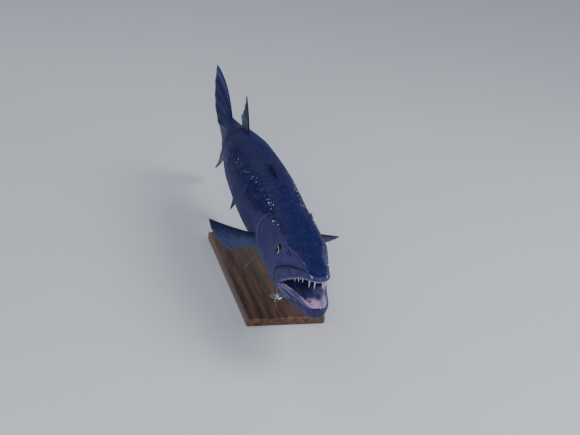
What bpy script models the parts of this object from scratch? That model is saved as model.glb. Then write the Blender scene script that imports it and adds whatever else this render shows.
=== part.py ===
"""Great barracuda, life size, with its mouth open, on a plain display stand.

Lengths are in metres. `back` is the distance behind a point just ahead of the upper snout, along the
body's axis. `side` is towards the fish's left and `height` is above the axis. The head points to +X.
"""

import math

import bmesh
import bpy
from mathutils import Matrix, Vector

# The whole fish
SNOUT_X = 0.5610
AXIS_Z = 0.200
GAP = 0.0003
TAIL_ROOT_BACK = 0.980

# Stations of the body: back, half width, top and bottom
STATIONS = {
    "snout": (0.000, 0.0215, 0.0285, -0.0700),
    "nostril": (0.080, 0.0380, 0.0385, -0.0820),
    "eye": (0.150, 0.0555, 0.0480, -0.0900),
    "cheek": (0.220, 0.0590, 0.0585, -0.0915),
    "gill": (0.300, 0.0610, 0.0690, -0.0870),
    "shoulder": (0.400, 0.0665, 0.0785, -0.0860),
    "girth": (0.500, 0.0700, 0.0820, -0.0855),
    "vent": (0.680, 0.0650, 0.0785, -0.0770),
    "rear_fins": (0.800, 0.0520, 0.0640, -0.0610),
    "stem": (0.920, 0.0290, 0.0415, -0.0415),
    "stem_end": (0.955, 0.0190, 0.0395, -0.0395),
    "tail_root": (TAIL_ROOT_BACK, 0.0065, 0.0405, -0.0405),
}

# Where the body is widest, and how square its cross-section is, by distance back
WIDEST_HEIGHT = ((0.0, -0.016), (0.150, -0.018), (0.300, -0.008), (0.900, 0.0), (1.000, 0.0))
SQUARENESS = ((0.0, 2.9), (0.200, 2.9), (0.340, 2.2), (1.000, 2.0))

# Sideways sweep of the rear of the body: back and the shift to the left
SWAY = ((0.450, 0.0), (0.750, 0.0060), (0.930, 0.0100), (1.000, 0.0080))

# Where the body is parted
GILL_BACK = 0.300
TORSO_BACK = 0.560
STEM_BACK = 0.860

# Mouth: the corner, both rims and the rounding of the jaws' tips
CORNER_BACK = 0.140
CORNER_HEIGHT = -0.0450
UPPER_RIM = ((0.000, 0.0145), (0.030, 0.0115), (0.070, -0.0045), (0.105, -0.0240))
LOWER_RIM = ((-0.010, -0.0400), (0.050, -0.0400), (0.100, -0.0415))
GILL_PARTING_HEIGHT = -0.0520
SNOUT_TIP_BACK = 0.009
CHIN_TIP_BACK = -0.004
TIP_RADIUS = 0.030
SNOUT_TIP_HEIGHT = 0.0185
CHIN_TIP_HEIGHT = -0.0480
JAW_END_BACK = 0.176

# Space inside the mouth
JAW_WALL = 0.0085
HOLLOW_FRONT_BACK = 0.0130
HOLLOW_FRONT_RADIUS = 0.030
HOLLOW_END_BACK = 0.255
HOLLOW_END_RADIUS = 0.060
HOLLOW_SQUARENESS = 3.2
HOLLOW_SEGMENTS = 24
PALATE_RISE = 0.0140
FLOOR_DROP = 0.0110

# Upper jaw bone, proud of the cheek, and the lower lip
LIP_PROUD = 0.0018
LIP_TOP = (
    (-0.060, 0.0250), (0.010, 0.0245), (0.030, 0.0235), (0.054, 0.0200),
    (0.075, 0.0145), (0.098, 0.0075), (0.120, -0.0020), (0.140, -0.0135), (0.156, -0.0250),
)
LIP_END_BACK = 0.156
LIP_END_ROUNDING = 0.010
LOWER_LIP_PROUD = 0.0012
LOWER_LIP_DEPTH = 0.0075
LOWER_LIP_END_BACK = 0.128

# Tongue
TONGUE_BACK = 0.080
TONGUE_SIZE = (0.0480, 0.0125, 0.0045)
TONGUE_SINK = 0.0012

# Teeth: the rows along both jaws and the fangs at the front and on the palate
TOOTH_SIDES = 5
TOOTH_TIP = 0.0004
TOOTH_SINK = 0.0040
TOOTH_BLADE = 0.62
TOOTH_STOUTNESS = 0.50
TOOTH_RAKE = 0.15
GAPE_SHARE = 0.42
UPPER_ROW = {"first": 0.046, "last": 0.120, "count": 8, "front": 0.0060, "rear": 0.0042, "across": 0.66}
LOWER_ROW = {"first": 0.020, "last": 0.118, "count": 8, "front": 0.0052, "rear": 0.0066, "across": 0.55}
FRONT_FANGS = ((0.0160, 0.0085, 0.0165), (0.0245, 0.0175, 0.0160))
PALATE_FANGS = ((0.052, 0.0130), (0.068, 0.0120), (0.084, 0.0100))
PALATE_FANG_ACROSS = 0.24
CHIN_FANG = (0.0060, 0.0040, 0.0080)

# Eye and nostrils
EYE_BACK = 0.158
EYE_HEIGHT = 0.0195
EYE_RADIUS = 0.0130
EYE_DEPTH = 0.0105
EYE_BULGE = 0.0018
EYE_FACING = (0.04, 1.0, 0.10)
NOSTRILS = ((0.112, 0.0290, 0.0022), (0.122, 0.0300, 0.0030))

# Gill covers: the front edge, the middle and half height of the rounded rear edge, and the flare
COVER_FRONT_BACK = 0.212
COVER_REACH_BACK = 0.309
COVER_MIDDLE_HEIGHT = -0.0065
COVER_HALF_HEIGHT = 0.0600
COVER_FLARE = 0.0045
COVER_RISE = 0.0016
COVER_THICK = 0.0030
COVER_CLEAR = 0.0005
COVER_COLUMNS = 7
COVER_ROWS = 10
COVER_SWING = 0.96
COVER_ROUNDNESS = 0.65
COVER_RISE_SHARE = (0.45, 4.0)
COVER_FLARE_POWERS = (2.2, 0.6)
COVER_EDGE_THINNING = 0.5

# Fins: web and rays, and how far the roots go into the body
WEB_HALF = 0.00030
WEB_REACH = 0.965
RAY_ROOT_HALF = 0.0013
RAY_TIP_HALF = 0.00035
LEAD_STOUTNESS = 1.5
FIN_SINK = 0.0050

# Tail fin: back and side of the fork, then back, side and height of each lobe's hollow and tip
TAIL_RAYS = 9
TAIL_ROOT_HALF_HEIGHT = 0.0385
FORK = (1.046, -0.0120)
TAIL_LOBES = {
    "upper": {"hollow": (1.090, -0.0240, 0.0780), "tip": (1.125, -0.0067, 0.1410), "elbow": (0.31, 0.85)},
    "lower": {"hollow": (1.088, 0.0280, -0.0800), "tip": (1.114, 0.0010, -0.1630), "elbow": (0.40, 0.60)},
}
TAIL_HUMP = 0.0060

# Fins along the middle of the back and belly: root, first tip, the hollow and last tip, which lean aside
SPINES = 5
SPINE_FIRST_BACK = 0.405
SPINE_LAST_BACK = 0.480
SPINE_SWEEP = (0.060, 0.028)
SPINE_RISE = (0.0170, 0.0080)
SPINE_ELBOW = (0.35, 0.75)
SECOND_DORSAL = {
    "root": (0.736, 0.822),
    "edge": ((0.816, 0.0030, 0.1500), (0.822, 0.0010, 0.0980), (0.858, 0.0, 0.0810)),
}
ANAL = {
    "root": (0.750, 0.834),
    "edge": ((0.820, -0.0195, -0.1680), (0.832, -0.0080, -0.1050), (0.868, -0.0030, -0.0790)),
}
MEDIAN_RAYS = 10
MEDIAN_ELBOW = (0.42, 0.60)

# Paired fins on the left side: back, side and height of each point
PECTORAL_RAYS = 12
PECTORAL_ROOT = ((0.334, -0.0220), (0.342, -0.0520))
PECTORAL_LEFT = ((0.040, 0.0940, -0.0300), (0.072, 0.0960, -0.0420), (0.062, 0.0560, -0.0340))
PECTORAL_RIGHT = ((0.080, 0.0940, 0.0060), (0.082, 0.0920, -0.0260), (0.045, 0.0540, -0.0320))
PELVIC_RAYS = 6
PELVIC_ROOT = ((0.384, 0.0270), (0.400, 0.0150))
PELVIC_PLAN = ((0.028, 0.0330, -0.0710), (0.044, 0.0280, -0.0600), (0.036, 0.0130, -0.0380))
SIDE_FIN_ELBOW = (0.40, 0.58, 0.50)

# Stand
BASE_SIZE = (0.480, 0.180, 0.020)
BASE_BACK = 0.470
BASE_ROUNDING = 0.004
ROD_BACKS = {"front": 0.330, "rear": 0.640}
ROD_RADIUS = 0.005
ROD_SINK = 0.010
FLANGE_RADIUS = 0.016
FLANGE_HEIGHT = 0.004
FLANGE_ROUNDING = 0.0012
TURN_STEPS = 24
SHARP_ANGLE = math.radians(40)

# Mesh fineness
SEGMENTS = 32
CHORD_PARTS = 6
RING_STEP = 0.030
NOSE_TURNS = (14, 32, 52, 72)

# Colours, as linear values
FINISHES = {
    "back": ((0.032, 0.050, 0.120), 0.38),
    "flank": ((0.075, 0.100, 0.180), 0.35),
    "face": ((0.090, 0.095, 0.190), 0.40),
    "lip": ((0.105, 0.110, 0.200), 0.42),
    "tongue": ((0.350, 0.200, 0.300), 0.35),
    "eye": ((0.012, 0.012, 0.018), 0.08),
    "fin": ((0.030, 0.042, 0.090), 0.45),
    "tail": ((0.022, 0.034, 0.080), 0.45),
    "wood": ((0.120, 0.070, 0.040), 0.50),
    "steel": ((0.500, 0.500, 0.510), 0.30),
}

for old in list(bpy.data.objects):
    bpy.data.objects.remove(old)
fish = bpy.data.collections.new("barracuda")
bpy.context.scene.collection.children.link(fish)


def monotone(points):
    """A smooth function through (x, y) points that never overshoots them."""
    xs = [p[0] for p in points]
    ys = [p[1] for p in points]
    rises = [(ys[i + 1] - ys[i]) / (xs[i + 1] - xs[i]) for i in range(len(xs) - 1)]
    slopes = [rises[0]]
    for before, after in zip(rises, rises[1:]):
        level = before * after <= 0
        slopes.append(0.0 if level else 2 * before * after / (before + after))
    slopes.append(rises[-1])

    def value(x):
        x = min(max(x, xs[0]), xs[-1])
        i = max(k for k in range(len(xs) - 1) if xs[k] <= x)
        span = xs[i + 1] - xs[i]
        t = (x - xs[i]) / span
        start = (1 + 2 * t) * (1 - t) ** 2 * ys[i] + t * (1 - t) ** 2 * span * slopes[i]
        end = t * t * (3 - 2 * t) * ys[i + 1] - t * t * (1 - t) * span * slopes[i + 1]
        return start + end

    return value


half_width = monotone([(row[0], row[1]) for row in STATIONS.values()])
top_height = monotone([(row[0], row[2]) for row in STATIONS.values()])
bottom_height = monotone([(row[0], row[3]) for row in STATIONS.values()])
squareness = monotone(SQUARENESS)
widest_height = monotone(WIDEST_HEIGHT)
rim_behind = [(CORNER_BACK, CORNER_HEIGHT), (GILL_BACK, GILL_PARTING_HEIGHT)]
upper_rim = monotone(list(UPPER_RIM) + rim_behind)
lower_rim = monotone(list(LOWER_RIM) + rim_behind)
lip_top = monotone(LIP_TOP)
sway = monotone(SWAY)


def place(back, side, height):
    """A point of the world from the fish's own measures."""
    return Vector((SNOUT_X - back, side + sway(back), AXIS_Z + height))


def rounded(distance, radius):
    """How full a round tip is at a distance behind its point, from 0 to 1."""
    t = min(max(distance / radius, 0.0), 1.0)
    return math.sqrt(1 - (1 - t) ** 2)


def signed_power(value, power):
    return math.copysign(abs(value) ** power, value)


def even(start, end, step):
    """Evenly spaced values from start to end, about a step apart."""
    count = max(1, round((end - start) / step))
    return [start + (end - start) * i / count for i in range(count + 1)]


def mix(start, end, share):
    return start + (end - start) * share


def bend(start, elbow, end, share):
    """A point on a bowed line."""
    return start * (1 - share) ** 2 + elbow * (2 * share * (1 - share)) + end * share**2


def bow(root, tip, along, tall):
    """The elbow of a bowed ray, by its shares of the way along and up."""
    return Vector((mix(root.x, tip.x, along), mix(root.y, tip.y, along), mix(root.z, tip.z, tall)))


def arc_point(back, angle, grow=0.0, fullness=1.0, tip_height=None):
    """A point of the full cross-section. Angle 0 is the left side and a right angle is the top."""
    width = half_width(back) * fullness + grow
    centre = widest_height(back)
    top = top_height(back)
    bottom = bottom_height(back)
    if tip_height is not None:
        top = mix(tip_height, top, fullness)
        bottom = mix(tip_height, bottom, fullness)
        centre = mix(tip_height, centre, fullness)
    reach = (top - centre if math.sin(angle) >= 0 else centre - bottom) + grow
    power = 2 / squareness(back)
    height = centre + signed_power(math.sin(angle), power) * reach
    return signed_power(math.cos(angle), power) * width, height


def angle_at(back, height, grow=0.0, fullness=1.0, tip_height=None):
    """The angle at which the cross-section's left side reaches a height."""
    low, high = -math.pi / 2, math.pi / 2
    for _ in range(40):
        middle = (low + high) / 2
        if arc_point(back, middle, grow, fullness, tip_height)[1] < height:
            low = middle
        else:
            high = middle
    return low


def surface_side(back, height, grow=0.0):
    """How far out the body's left side is at a height."""
    return arc_point(back, angle_at(back, height, grow), grow)[0]


def mesh_object(name, bm):
    """A new object at the origin, with its faces pointing out, in the fish's collection."""
    bmesh.ops.recalc_face_normals(bm, faces=bm.faces)
    mesh = bpy.data.meshes.new(name)
    bm.to_mesh(mesh)
    bm.free()
    made = bpy.data.objects.new(name, mesh)
    fish.objects.link(made)
    return made


def loft(name, rings):
    """A closed form through rings that have the same number of points."""
    bm = bmesh.new()
    loops = [[bm.verts.new(point) for point in ring] for ring in rings]
    count = len(loops[0])
    for near, far in zip(loops, loops[1:]):
        for i in range(count):
            j = (i + 1) % count
            bm.faces.new((near[i], near[j], far[j], far[i]))
    for end in (loops[0], loops[-1]):
        centre = bm.verts.new(sum((v.co for v in end), Vector()) / count)
        for i in range(count):
            bm.faces.new((end[i], end[(i + 1) % count], centre))
    return mesh_object(name, bm)


def trunk_form(name, start, end, grow=0.0):
    """A stretch of the body behind the gill openings."""
    rings = []
    for back in even(start, end, RING_STEP):
        angles = [2 * math.pi * i / SEGMENTS for i in range(SEGMENTS)]
        rings.append([place(back, *arc_point(back, angle, grow)) for angle in angles])
    return loft(name, rings)


def half_head_form(name, upper, start=None, end=GILL_BACK, grow=0.0):
    """The head above the mouth line, or the jaw and throat below it."""
    tip = SNOUT_TIP_BACK if upper else CHIN_TIP_BACK
    tip_height = SNOUT_TIP_HEIGHT if upper else CHIN_TIP_HEIGHT
    rim = upper_rim if upper else lower_rim
    sign = 1 if upper else -1
    nose = [tip + TIP_RADIUS * (1 - math.cos(math.radians(turn))) for turn in NOSE_TURNS]
    backs = nose + even(tip + TIP_RADIUS, GILL_BACK, RING_STEP * 0.8)
    close = RING_STEP * 0.15
    if start is not None:
        backs = [start] + [back for back in backs if back > start + close]
    backs = [back for back in backs if back < end - close] + [end]
    rings = []
    for back in backs:
        fullness = rounded(back - tip, TIP_RADIUS)
        tip_now = tip_height if fullness < 1 else None
        first = angle_at(back, rim(back) + sign * (GAP / 2 - grow), grow, fullness, tip_now)
        last = math.pi - first
        if not upper:
            first, last = last, 2 * math.pi + first
        steps = SEGMENTS // 2 + 2
        angles = [mix(first, last, i / steps) for i in range(steps + 1)]
        arc = [arc_point(back, angle, grow, fullness, tip_now) for angle in angles]
        chord = [mix(Vector(arc[-1]), Vector(arc[0]), i / CHORD_PARTS) for i in range(1, CHORD_PARTS)]
        rings.append([place(back, side, height) for side, height in arc + chord])
    return loft(name, rings)


def hollow_measures(back):
    """Middle height, rise, drop and half width of the space inside the mouth."""
    fullness = rounded(back - HOLLOW_FRONT_BACK, HOLLOW_FRONT_RADIUS)
    fullness *= rounded(HOLLOW_END_BACK - back, HOLLOW_END_RADIUS)
    middle = (upper_rim(back) + lower_rim(back)) / 2
    rise = upper_rim(back) - middle + PALATE_RISE * fullness
    drop = middle - lower_rim(back) + FLOOR_DROP * fullness
    return middle, rise, drop, (half_width(back) - JAW_WALL) * fullness


def hollow_form(name, grow=0.0):
    """The space inside the mouth, from just behind the front teeth to the throat."""
    rings = []
    edge = RING_STEP * 0.04
    backs = even(HOLLOW_FRONT_BACK + edge, HOLLOW_FRONT_BACK + HOLLOW_FRONT_RADIUS, RING_STEP * 0.25)
    backs += even(backs[-1], HOLLOW_END_BACK - edge, RING_STEP * 0.6)[1:]
    for back in backs:
        middle, rise, drop, width = hollow_measures(back)
        ring = []
        for i in range(HOLLOW_SEGMENTS):
            angle = 2 * math.pi * i / HOLLOW_SEGMENTS
            reach = rise if math.sin(angle) >= 0 else drop
            side = signed_power(math.cos(angle), 2 / HOLLOW_SQUARENESS) * (width + grow)
            height = middle + signed_power(math.sin(angle), 2 / HOLLOW_SQUARENESS) * (reach + grow)
            ring.append(place(back, side, height))
        rings.append(ring)
    return loft(name, rings)


def prism_form(name, outline):
    """A slab right across the body, from an outline of (back, height) points."""
    half = 2 * max(row[1] for row in STATIONS.values())
    bm = bmesh.new()
    face = bm.faces.new([bm.verts.new(place(back, half, height)) for back, height in outline])
    made = bmesh.ops.extrude_face_region(bm, geom=[face])
    moved = [v for v in made["geom"] if isinstance(v, bmesh.types.BMVert)]
    bmesh.ops.translate(bm, vec=Vector((0, -2 * half, 0)), verts=moved)
    return mesh_object(name, bm)


def apply_modifiers(target):
    graph = bpy.context.evaluated_depsgraph_get()
    mesh = bpy.data.meshes.new_from_object(target.evaluated_get(graph))
    target.modifiers.clear()
    target.data = mesh


def keep_largest(target):
    """Drops every closed surface but the one that holds most."""
    bm = bmesh.new()
    bm.from_mesh(target.data)
    bmesh.ops.remove_doubles(bm, verts=bm.verts, dist=1e-6)
    bmesh.ops.triangulate(bm, faces=bm.faces)
    unseen = set(bm.faces)
    shells = []
    while unseen:
        shell = [unseen.pop()]
        for face in shell:
            for other in {link for edge in face.edges for link in edge.link_faces} & unseen:
                unseen.remove(other)
                shell.append(other)
        shells.append(shell)

    def held(shell):
        corners = [[v.co for v in face.verts] for face in shell]
        return abs(sum(a.dot(b.cross(c)) for a, b, c in corners)) / 6

    shells.sort(key=held)
    for shell in shells[:-1]:
        bmesh.ops.delete(bm, geom=shell, context="FACES")
    bmesh.ops.delete(bm, geom=[v for v in bm.verts if not v.link_faces], context="VERTS")
    bm.to_mesh(target.data)
    bm.free()


def combine(target, operation, helpers):
    """Joins helpers to the target, cuts them from it or crosses it with one, and removes them."""
    heap = bpy.data.collections.new("helpers")
    for helper in helpers:
        heap.objects.link(helper)
    modifier = target.modifiers.new("combine", "BOOLEAN")
    modifier.operation = operation
    modifier.operand_type = "COLLECTION"
    modifier.collection = heap
    modifier.solver = "EXACT"
    apply_modifiers(target)
    for helper in helpers:
        bpy.data.objects.remove(helper)
    bpy.data.collections.remove(heap)
    keep_largest(target)
    return target


def dress(target, finish):
    """Gives a sub-part its own material."""
    colour, roughness = FINISHES[finish]
    made = bpy.data.materials.new(target.name)
    made.use_nodes = True
    shader = made.node_tree.nodes["Principled BSDF"]
    shader.inputs["Base Color"].default_value = (*colour, 1.0)
    shader.inputs["Roughness"].default_value = roughness
    shader.inputs["Metallic"].default_value = 1.0 if finish == "steel" else 0.0
    target.data.materials.clear()
    target.data.materials.append(made)


def lip_outline(grow):
    """Side outline of the upper jaw bone, open below the mouth line."""
    backs = even(LIP_TOP[0][0], LIP_END_BACK - LIP_END_ROUNDING, RING_STEP * 0.7)
    top = [(back, lip_top(back) + grow) for back in backs]
    end = LIP_END_BACK + grow
    corner = (end, top[-1][1] - LIP_END_ROUNDING)
    below = 2 * CORNER_HEIGHT
    return top + [corner, (end, below), (backs[0], below)]


def lower_lip_outline():
    """Side outline of the lower lip, which follows the jaw's rim."""
    backs = even(LIP_TOP[0][0], LOWER_LIP_END_BACK, RING_STEP)
    under = [(back, lower_rim(back) - LOWER_LIP_DEPTH) for back in backs]
    end_back, end_height = under.pop()
    rounding = [(end_back - LOWER_LIP_DEPTH, end_height), (end_back, end_height + LOWER_LIP_DEPTH * 0.7)]
    return [(backs[0], 0.0)] + under + rounding + [(end_back, 0.0)]


def ball_form(name, centre, out, sizes, rings=8):
    """A ball squashed along one direction: sizes are across, across and out."""
    bm = bmesh.new()
    bmesh.ops.create_uvsphere(bm, u_segments=2 * rings, v_segments=rings, radius=1.0)
    bmesh.ops.scale(bm, vec=Vector(sizes), verts=bm.verts)
    turn = out.to_track_quat("Z", "Y").to_matrix().to_4x4()
    bmesh.ops.transform(bm, matrix=Matrix.Translation(centre) @ turn, verts=bm.verts)
    return mesh_object(name, bm)


def skin_frame(back, height, sign):
    """A point on the side of the head and the way out of it."""
    small = 1e-4
    angle = angle_at(back, height)
    here = place(back, *arc_point(back, angle))
    along = place(back + small, *arc_point(back + small, angle)) - here
    around = place(back, *arc_point(back, angle + small)) - here
    out = along.cross(around).normalized()
    if out.y < 0:
        out = -out
    return Vector((here.x, sign * here.y, here.z)), Vector((out.x, sign * out.y, out.z))


def eye_form(name, sign, grow=0.0):
    here = skin_frame(EYE_BACK, EYE_HEIGHT, sign)[0]
    out = (Vector(EYE_FACING) * Vector((1, sign, 1))).normalized()
    reach = (EYE_DEPTH + EYE_BULGE) / 2
    centre = here + out * (EYE_BULGE - reach)
    return ball_form(name, centre, out, (EYE_RADIUS + grow, EYE_RADIUS + grow, reach + grow), 8)


def nostril_forms(sign):
    made = []
    for back, height, radius in NOSTRILS:
        here, out = skin_frame(back, height, sign)
        made.append(ball_form("nostril", here, out, (radius, radius * 0.8, radius), 4))
    return made


def tooth_form(root, tip, width):
    """A pointed tooth, flattened across the jaw, its root sunk below the gum."""
    axis = tip - root
    length = axis.length + TOOTH_SINK
    bm = bmesh.new()
    bmesh.ops.create_cone(
        bm, cap_ends=True, segments=TOOTH_SIDES, radius1=width / 2, radius2=TOOTH_TIP, depth=length
    )
    bmesh.ops.scale(bm, vec=Vector((1, TOOTH_BLADE, 1)), verts=bm.verts)
    turn = axis.to_track_quat("Z", "Y").to_matrix().to_4x4()
    middle = tip - axis.normalized() * length / 2
    bmesh.ops.transform(bm, matrix=Matrix.Translation(middle) @ turn, verts=bm.verts)
    return mesh_object("tooth", bm)


def gum_point(back, across, upper):
    """Side and height of a point on a jaw's rim, from its inner edge (0) to its outer edge (1)."""
    tip = SNOUT_TIP_BACK if upper else CHIN_TIP_BACK
    rim = upper_rim(back) if upper else lower_rim(back)
    fullness = rounded(back - tip, TIP_RADIUS)
    tip_now = None
    if fullness < 1:
        tip_now = SNOUT_TIP_HEIGHT if upper else CHIN_TIP_HEIGHT
    outer = arc_point(back, angle_at(back, rim, 0.0, fullness, tip_now), 0.0, fullness, tip_now)[0]
    middle, rise, drop, width = hollow_measures(back)
    share = abs(rim - middle) / (rise if upper else drop)
    inner = width * max(0.0, 1 - share**HOLLOW_SQUARENESS) ** (1 / HOLLOW_SQUARENESS)
    return mix(inner, outer, across), rim


def row_of_teeth(upper, row):
    """Both sides of a jaw's row, every other tooth shorter."""
    way = -1 if upper else 1
    made = []
    for i in range(row["count"]):
        share = i / (row["count"] - 1)
        back = mix(row["first"], row["last"], share)
        gape = upper_rim(back) - lower_rim(back)
        length = mix(row["front"], row["rear"], share) * (0.8 if i % 2 else 1.0)
        length = min(length, gape * GAPE_SHARE)
        for sign in (1, -1):
            side, height = gum_point(back, row["across"], upper)
            root = place(back, sign * side, height)
            tip = place(back + TOOTH_RAKE * length, sign * side * 0.985, height + way * length)
            made.append(tooth_form(root, tip, length * TOOTH_STOUTNESS + 0.001))
    return made


def fang_form(back, side, length, upper):
    """One long tooth near the front."""
    way = -1 if upper else 1
    height = upper_rim(back) if upper else lower_rim(back)
    root = place(back, side, height)
    tip = place(back + TOOTH_RAKE * length, side * 0.95, height + way * length)
    return tooth_form(root, tip, length * TOOTH_STOUTNESS * 0.8)


def upper_teeth():
    made = row_of_teeth(True, UPPER_ROW)
    for sign in (1, -1):
        made += [fang_form(back, sign * side, length, True) for back, side, length in FRONT_FANGS]
        for back, length in PALATE_FANGS:
            made.append(fang_form(back, sign * gum_point(back, PALATE_FANG_ACROSS, True)[0], length, True))
    return made


def lower_teeth():
    return row_of_teeth(False, LOWER_ROW) + [fang_form(*CHIN_FANG, False)]


def make_head():
    head = half_head_form("head", True)
    cutters = [prism_form("lip_cut", lip_outline(GAP)), hollow_form("mouth_cut")]
    for sign in (1, -1):
        cutters.append(eye_form("socket_cut", sign, GAP))
        cutters += nostril_forms(sign)
    dress(combine(head, "DIFFERENCE", cutters), "face")


def make_upper_jaw():
    jaw = half_head_form("upper_jaw", True, grow=LIP_PROUD)
    combine(jaw, "INTERSECT", [prism_form("lip", lip_outline(0.0))])
    cutters = [hollow_form("mouth_cut"), half_head_form("jaw_cut", False, grow=LOWER_LIP_PROUD + GAP)]
    combine(jaw, "DIFFERENCE", cutters)
    dress(combine(jaw, "UNION", upper_teeth()), "lip")


def make_lower_jaw():
    jaw = half_head_form("lower_jaw", False, end=JAW_END_BACK)
    lip = half_head_form("lower_lip", False, grow=LOWER_LIP_PROUD)
    combine(lip, "INTERSECT", [prism_form("lip_band", lower_lip_outline())])
    combine(jaw, "UNION", [lip])
    combine(jaw, "DIFFERENCE", [hollow_form("mouth_cut"), half_head_form("head_cut", True, grow=GAP)])
    dress(combine(jaw, "UNION", lower_teeth()), "lip")


def make_throat():
    throat = half_head_form("throat", False, start=JAW_END_BACK + GAP)
    cutters = [hollow_form("mouth_cut"), half_head_form("head_cut", True, grow=GAP)]
    dress(combine(throat, "DIFFERENCE", cutters), "face")


def make_tongue():
    middle, _, drop, _ = hollow_measures(TONGUE_BACK)
    centre = place(TONGUE_BACK, 0.0, middle - drop + TONGUE_SINK)
    tongue = ball_form("tongue", centre, Vector((0, 0, 1)), TONGUE_SIZE, 8)
    dress(combine(tongue, "INTERSECT", [hollow_form("mouth", -GAP)]), "tongue")


def make_eyes():
    for name, sign in (("left", 1), ("right", -1)):
        dress(eye_form("eye_" + name, sign), "eye")


def make_gill_covers():
    """Two plates that lie on the cheek at the front and stand off the body at their rear edge."""
    for name, sign in (("left", 1), ("right", -1)):
        bm = bmesh.new()
        sheets = []
        for inside in (False, True):
            sheet = []
            for row in range(COVER_ROWS + 1):
                swing = math.pi * (row / COVER_ROWS - 0.5) * COVER_SWING
                height = COVER_MIDDLE_HEIGHT + COVER_HALF_HEIGHT * math.sin(swing)
                edge = mix(COVER_FRONT_BACK, COVER_REACH_BACK, 1 - COVER_ROUNDNESS * (1 - math.cos(swing)))
                line = []
                for column in range(COVER_COLUMNS + 1):
                    share = column / COVER_COLUMNS
                    back = mix(COVER_FRONT_BACK, edge, share)
                    flare = share ** COVER_FLARE_POWERS[0] * math.cos(swing) ** COVER_FLARE_POWERS[1]
                    off = COVER_RISE * min(1.0, COVER_RISE_SHARE[0] + COVER_RISE_SHARE[1] * share)
                    off += COVER_FLARE * flare
                    if inside:
                        off -= COVER_THICK * (1 - COVER_EDGE_THINNING * share**4)
                    angle = angle_at(back, height)
                    side, up = arc_point(back, angle, off)
                    line.append(bm.verts.new(place(back, sign * side, up)))
                sheet.append(line)
            sheets.append(sheet)
        close_sheets(bm, *sheets)
        cover = mesh_object("gill_cover_" + name, bm)
        forms = [half_head_form("body_cut", upper, grow=COVER_CLEAR) for upper in (True, False)]
        forms.append(trunk_form("body_cut", GILL_BACK, TORSO_BACK, COVER_CLEAR))
        dress(combine(cover, "DIFFERENCE", forms), "face")


def close_sheets(bm, near, far):
    """Faces two like grids of points with triangles, alike on both, and closes their edges."""
    rows = len(near) - 1
    columns = len(near[0]) - 1
    for sheet in (near, far):
        for i in range(rows):
            for j in range(columns):
                bm.faces.new((sheet[i][j], sheet[i + 1][j], sheet[i + 1][j + 1]))
                bm.faces.new((sheet[i][j], sheet[i + 1][j + 1], sheet[i][j + 1]))
    for i in range(rows):
        for j in (0, columns):
            bm.faces.new((near[i][j], near[i + 1][j], far[i + 1][j]))
            bm.faces.new((near[i][j], far[i + 1][j], far[i][j]))
    for j in range(columns):
        for i in (0, rows):
            bm.faces.new((near[i][j], near[i][j + 1], far[i][j + 1]))
            bm.faces.new((near[i][j], far[i][j + 1], far[i][j]))


def ray_fin(name, rays, facing, rows):
    """A fin of one closed surface: its rays are ridges, with thin web between them.

    Each ray is (root, elbow, tip), the first is the leading one, and facing is the way out of the side.
    """
    columns = [(rays[0], RAY_ROOT_HALF * LEAD_STOUTNESS, 1.0)]
    for before, after in zip(rays, rays[1:]):
        between = tuple((a + b) / 2 for a, b in zip(before, after))
        columns.append((between, WEB_HALF, WEB_REACH))
        columns.append((after, RAY_ROOT_HALF, 1.0))
    bm = bmesh.new()
    sheets = []
    for sign in (1, -1):
        sheet = []
        for ray, root_half, reach in columns:
            line = []
            for j in range(rows + 1):
                share = j / rows
                half = mix(root_half, min(root_half, RAY_TIP_HALF), share)
                line.append(bm.verts.new(bend(*ray, share * reach) + facing * (sign * half)))
            sheet.append(line)
        sheets.append(sheet)
    close_sheets(bm, *sheets)
    return mesh_object(name, bm)


def edge_point(back, side, height):
    """A point of a fin's edge. Unlike place, it doesn't follow the sweep of the body."""
    return Vector((SNOUT_X - back, side, AXIS_Z + height))


def make_tail_fin():
    for name, sign in (("upper", 1), ("lower", -1)):
        lobe = TAIL_LOBES[name]
        fork = edge_point(*FORK, sign * GAP / 2)
        hollow = edge_point(*lobe["hollow"])
        lobe_tip = edge_point(*lobe["tip"])
        rays = []
        for i in range(TAIL_RAYS):
            share = 1 - i / (TAIL_RAYS - 1)
            tip = bend(fork, hollow, lobe_tip, share)
            tip.x -= TAIL_HUMP * math.sin(math.pi * min(1.0, share / 0.5)) ** 2
            root = place(TAIL_ROOT_BACK - FIN_SINK, 0.0, sign * mix(GAP / 2, TAIL_ROOT_HALF_HEIGHT, share))
            rays.append((root, bow(root, tip, *lobe["elbow"]), tip))
        fin = ray_fin("tail_fin_" + name, rays, Vector((0, 1, 0)), 7)
        cutters = [trunk_form("stem_cut", STEM_BACK + GAP, TAIL_ROOT_BACK, GAP)]
        dress(combine(fin, "DIFFERENCE", cutters), "tail")


def make_first_dorsal():
    """Spines folded low along the back."""
    rays = []
    for i in range(SPINES):
        share = i / (SPINES - 1)
        back = mix(SPINE_FIRST_BACK, SPINE_LAST_BACK, share)
        tip_back = back + mix(*SPINE_SWEEP, share)
        root = place(back, 0.0, top_height(back) - FIN_SINK)
        tip = place(tip_back, 0.0, top_height(tip_back) + mix(*SPINE_RISE, share))
        rays.append((root, bow(root, tip, *SPINE_ELBOW), tip))
    fin = ray_fin("first_dorsal_fin", rays, Vector((0, 1, 0)), 6)
    forms = [trunk_form("torso_cut", GILL_BACK + GAP, TORSO_BACK, GAP)]
    forms.append(trunk_form("rear_cut", TORSO_BACK + GAP, STEM_BACK, GAP))
    dress(combine(fin, "DIFFERENCE", forms), "fin")


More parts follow.
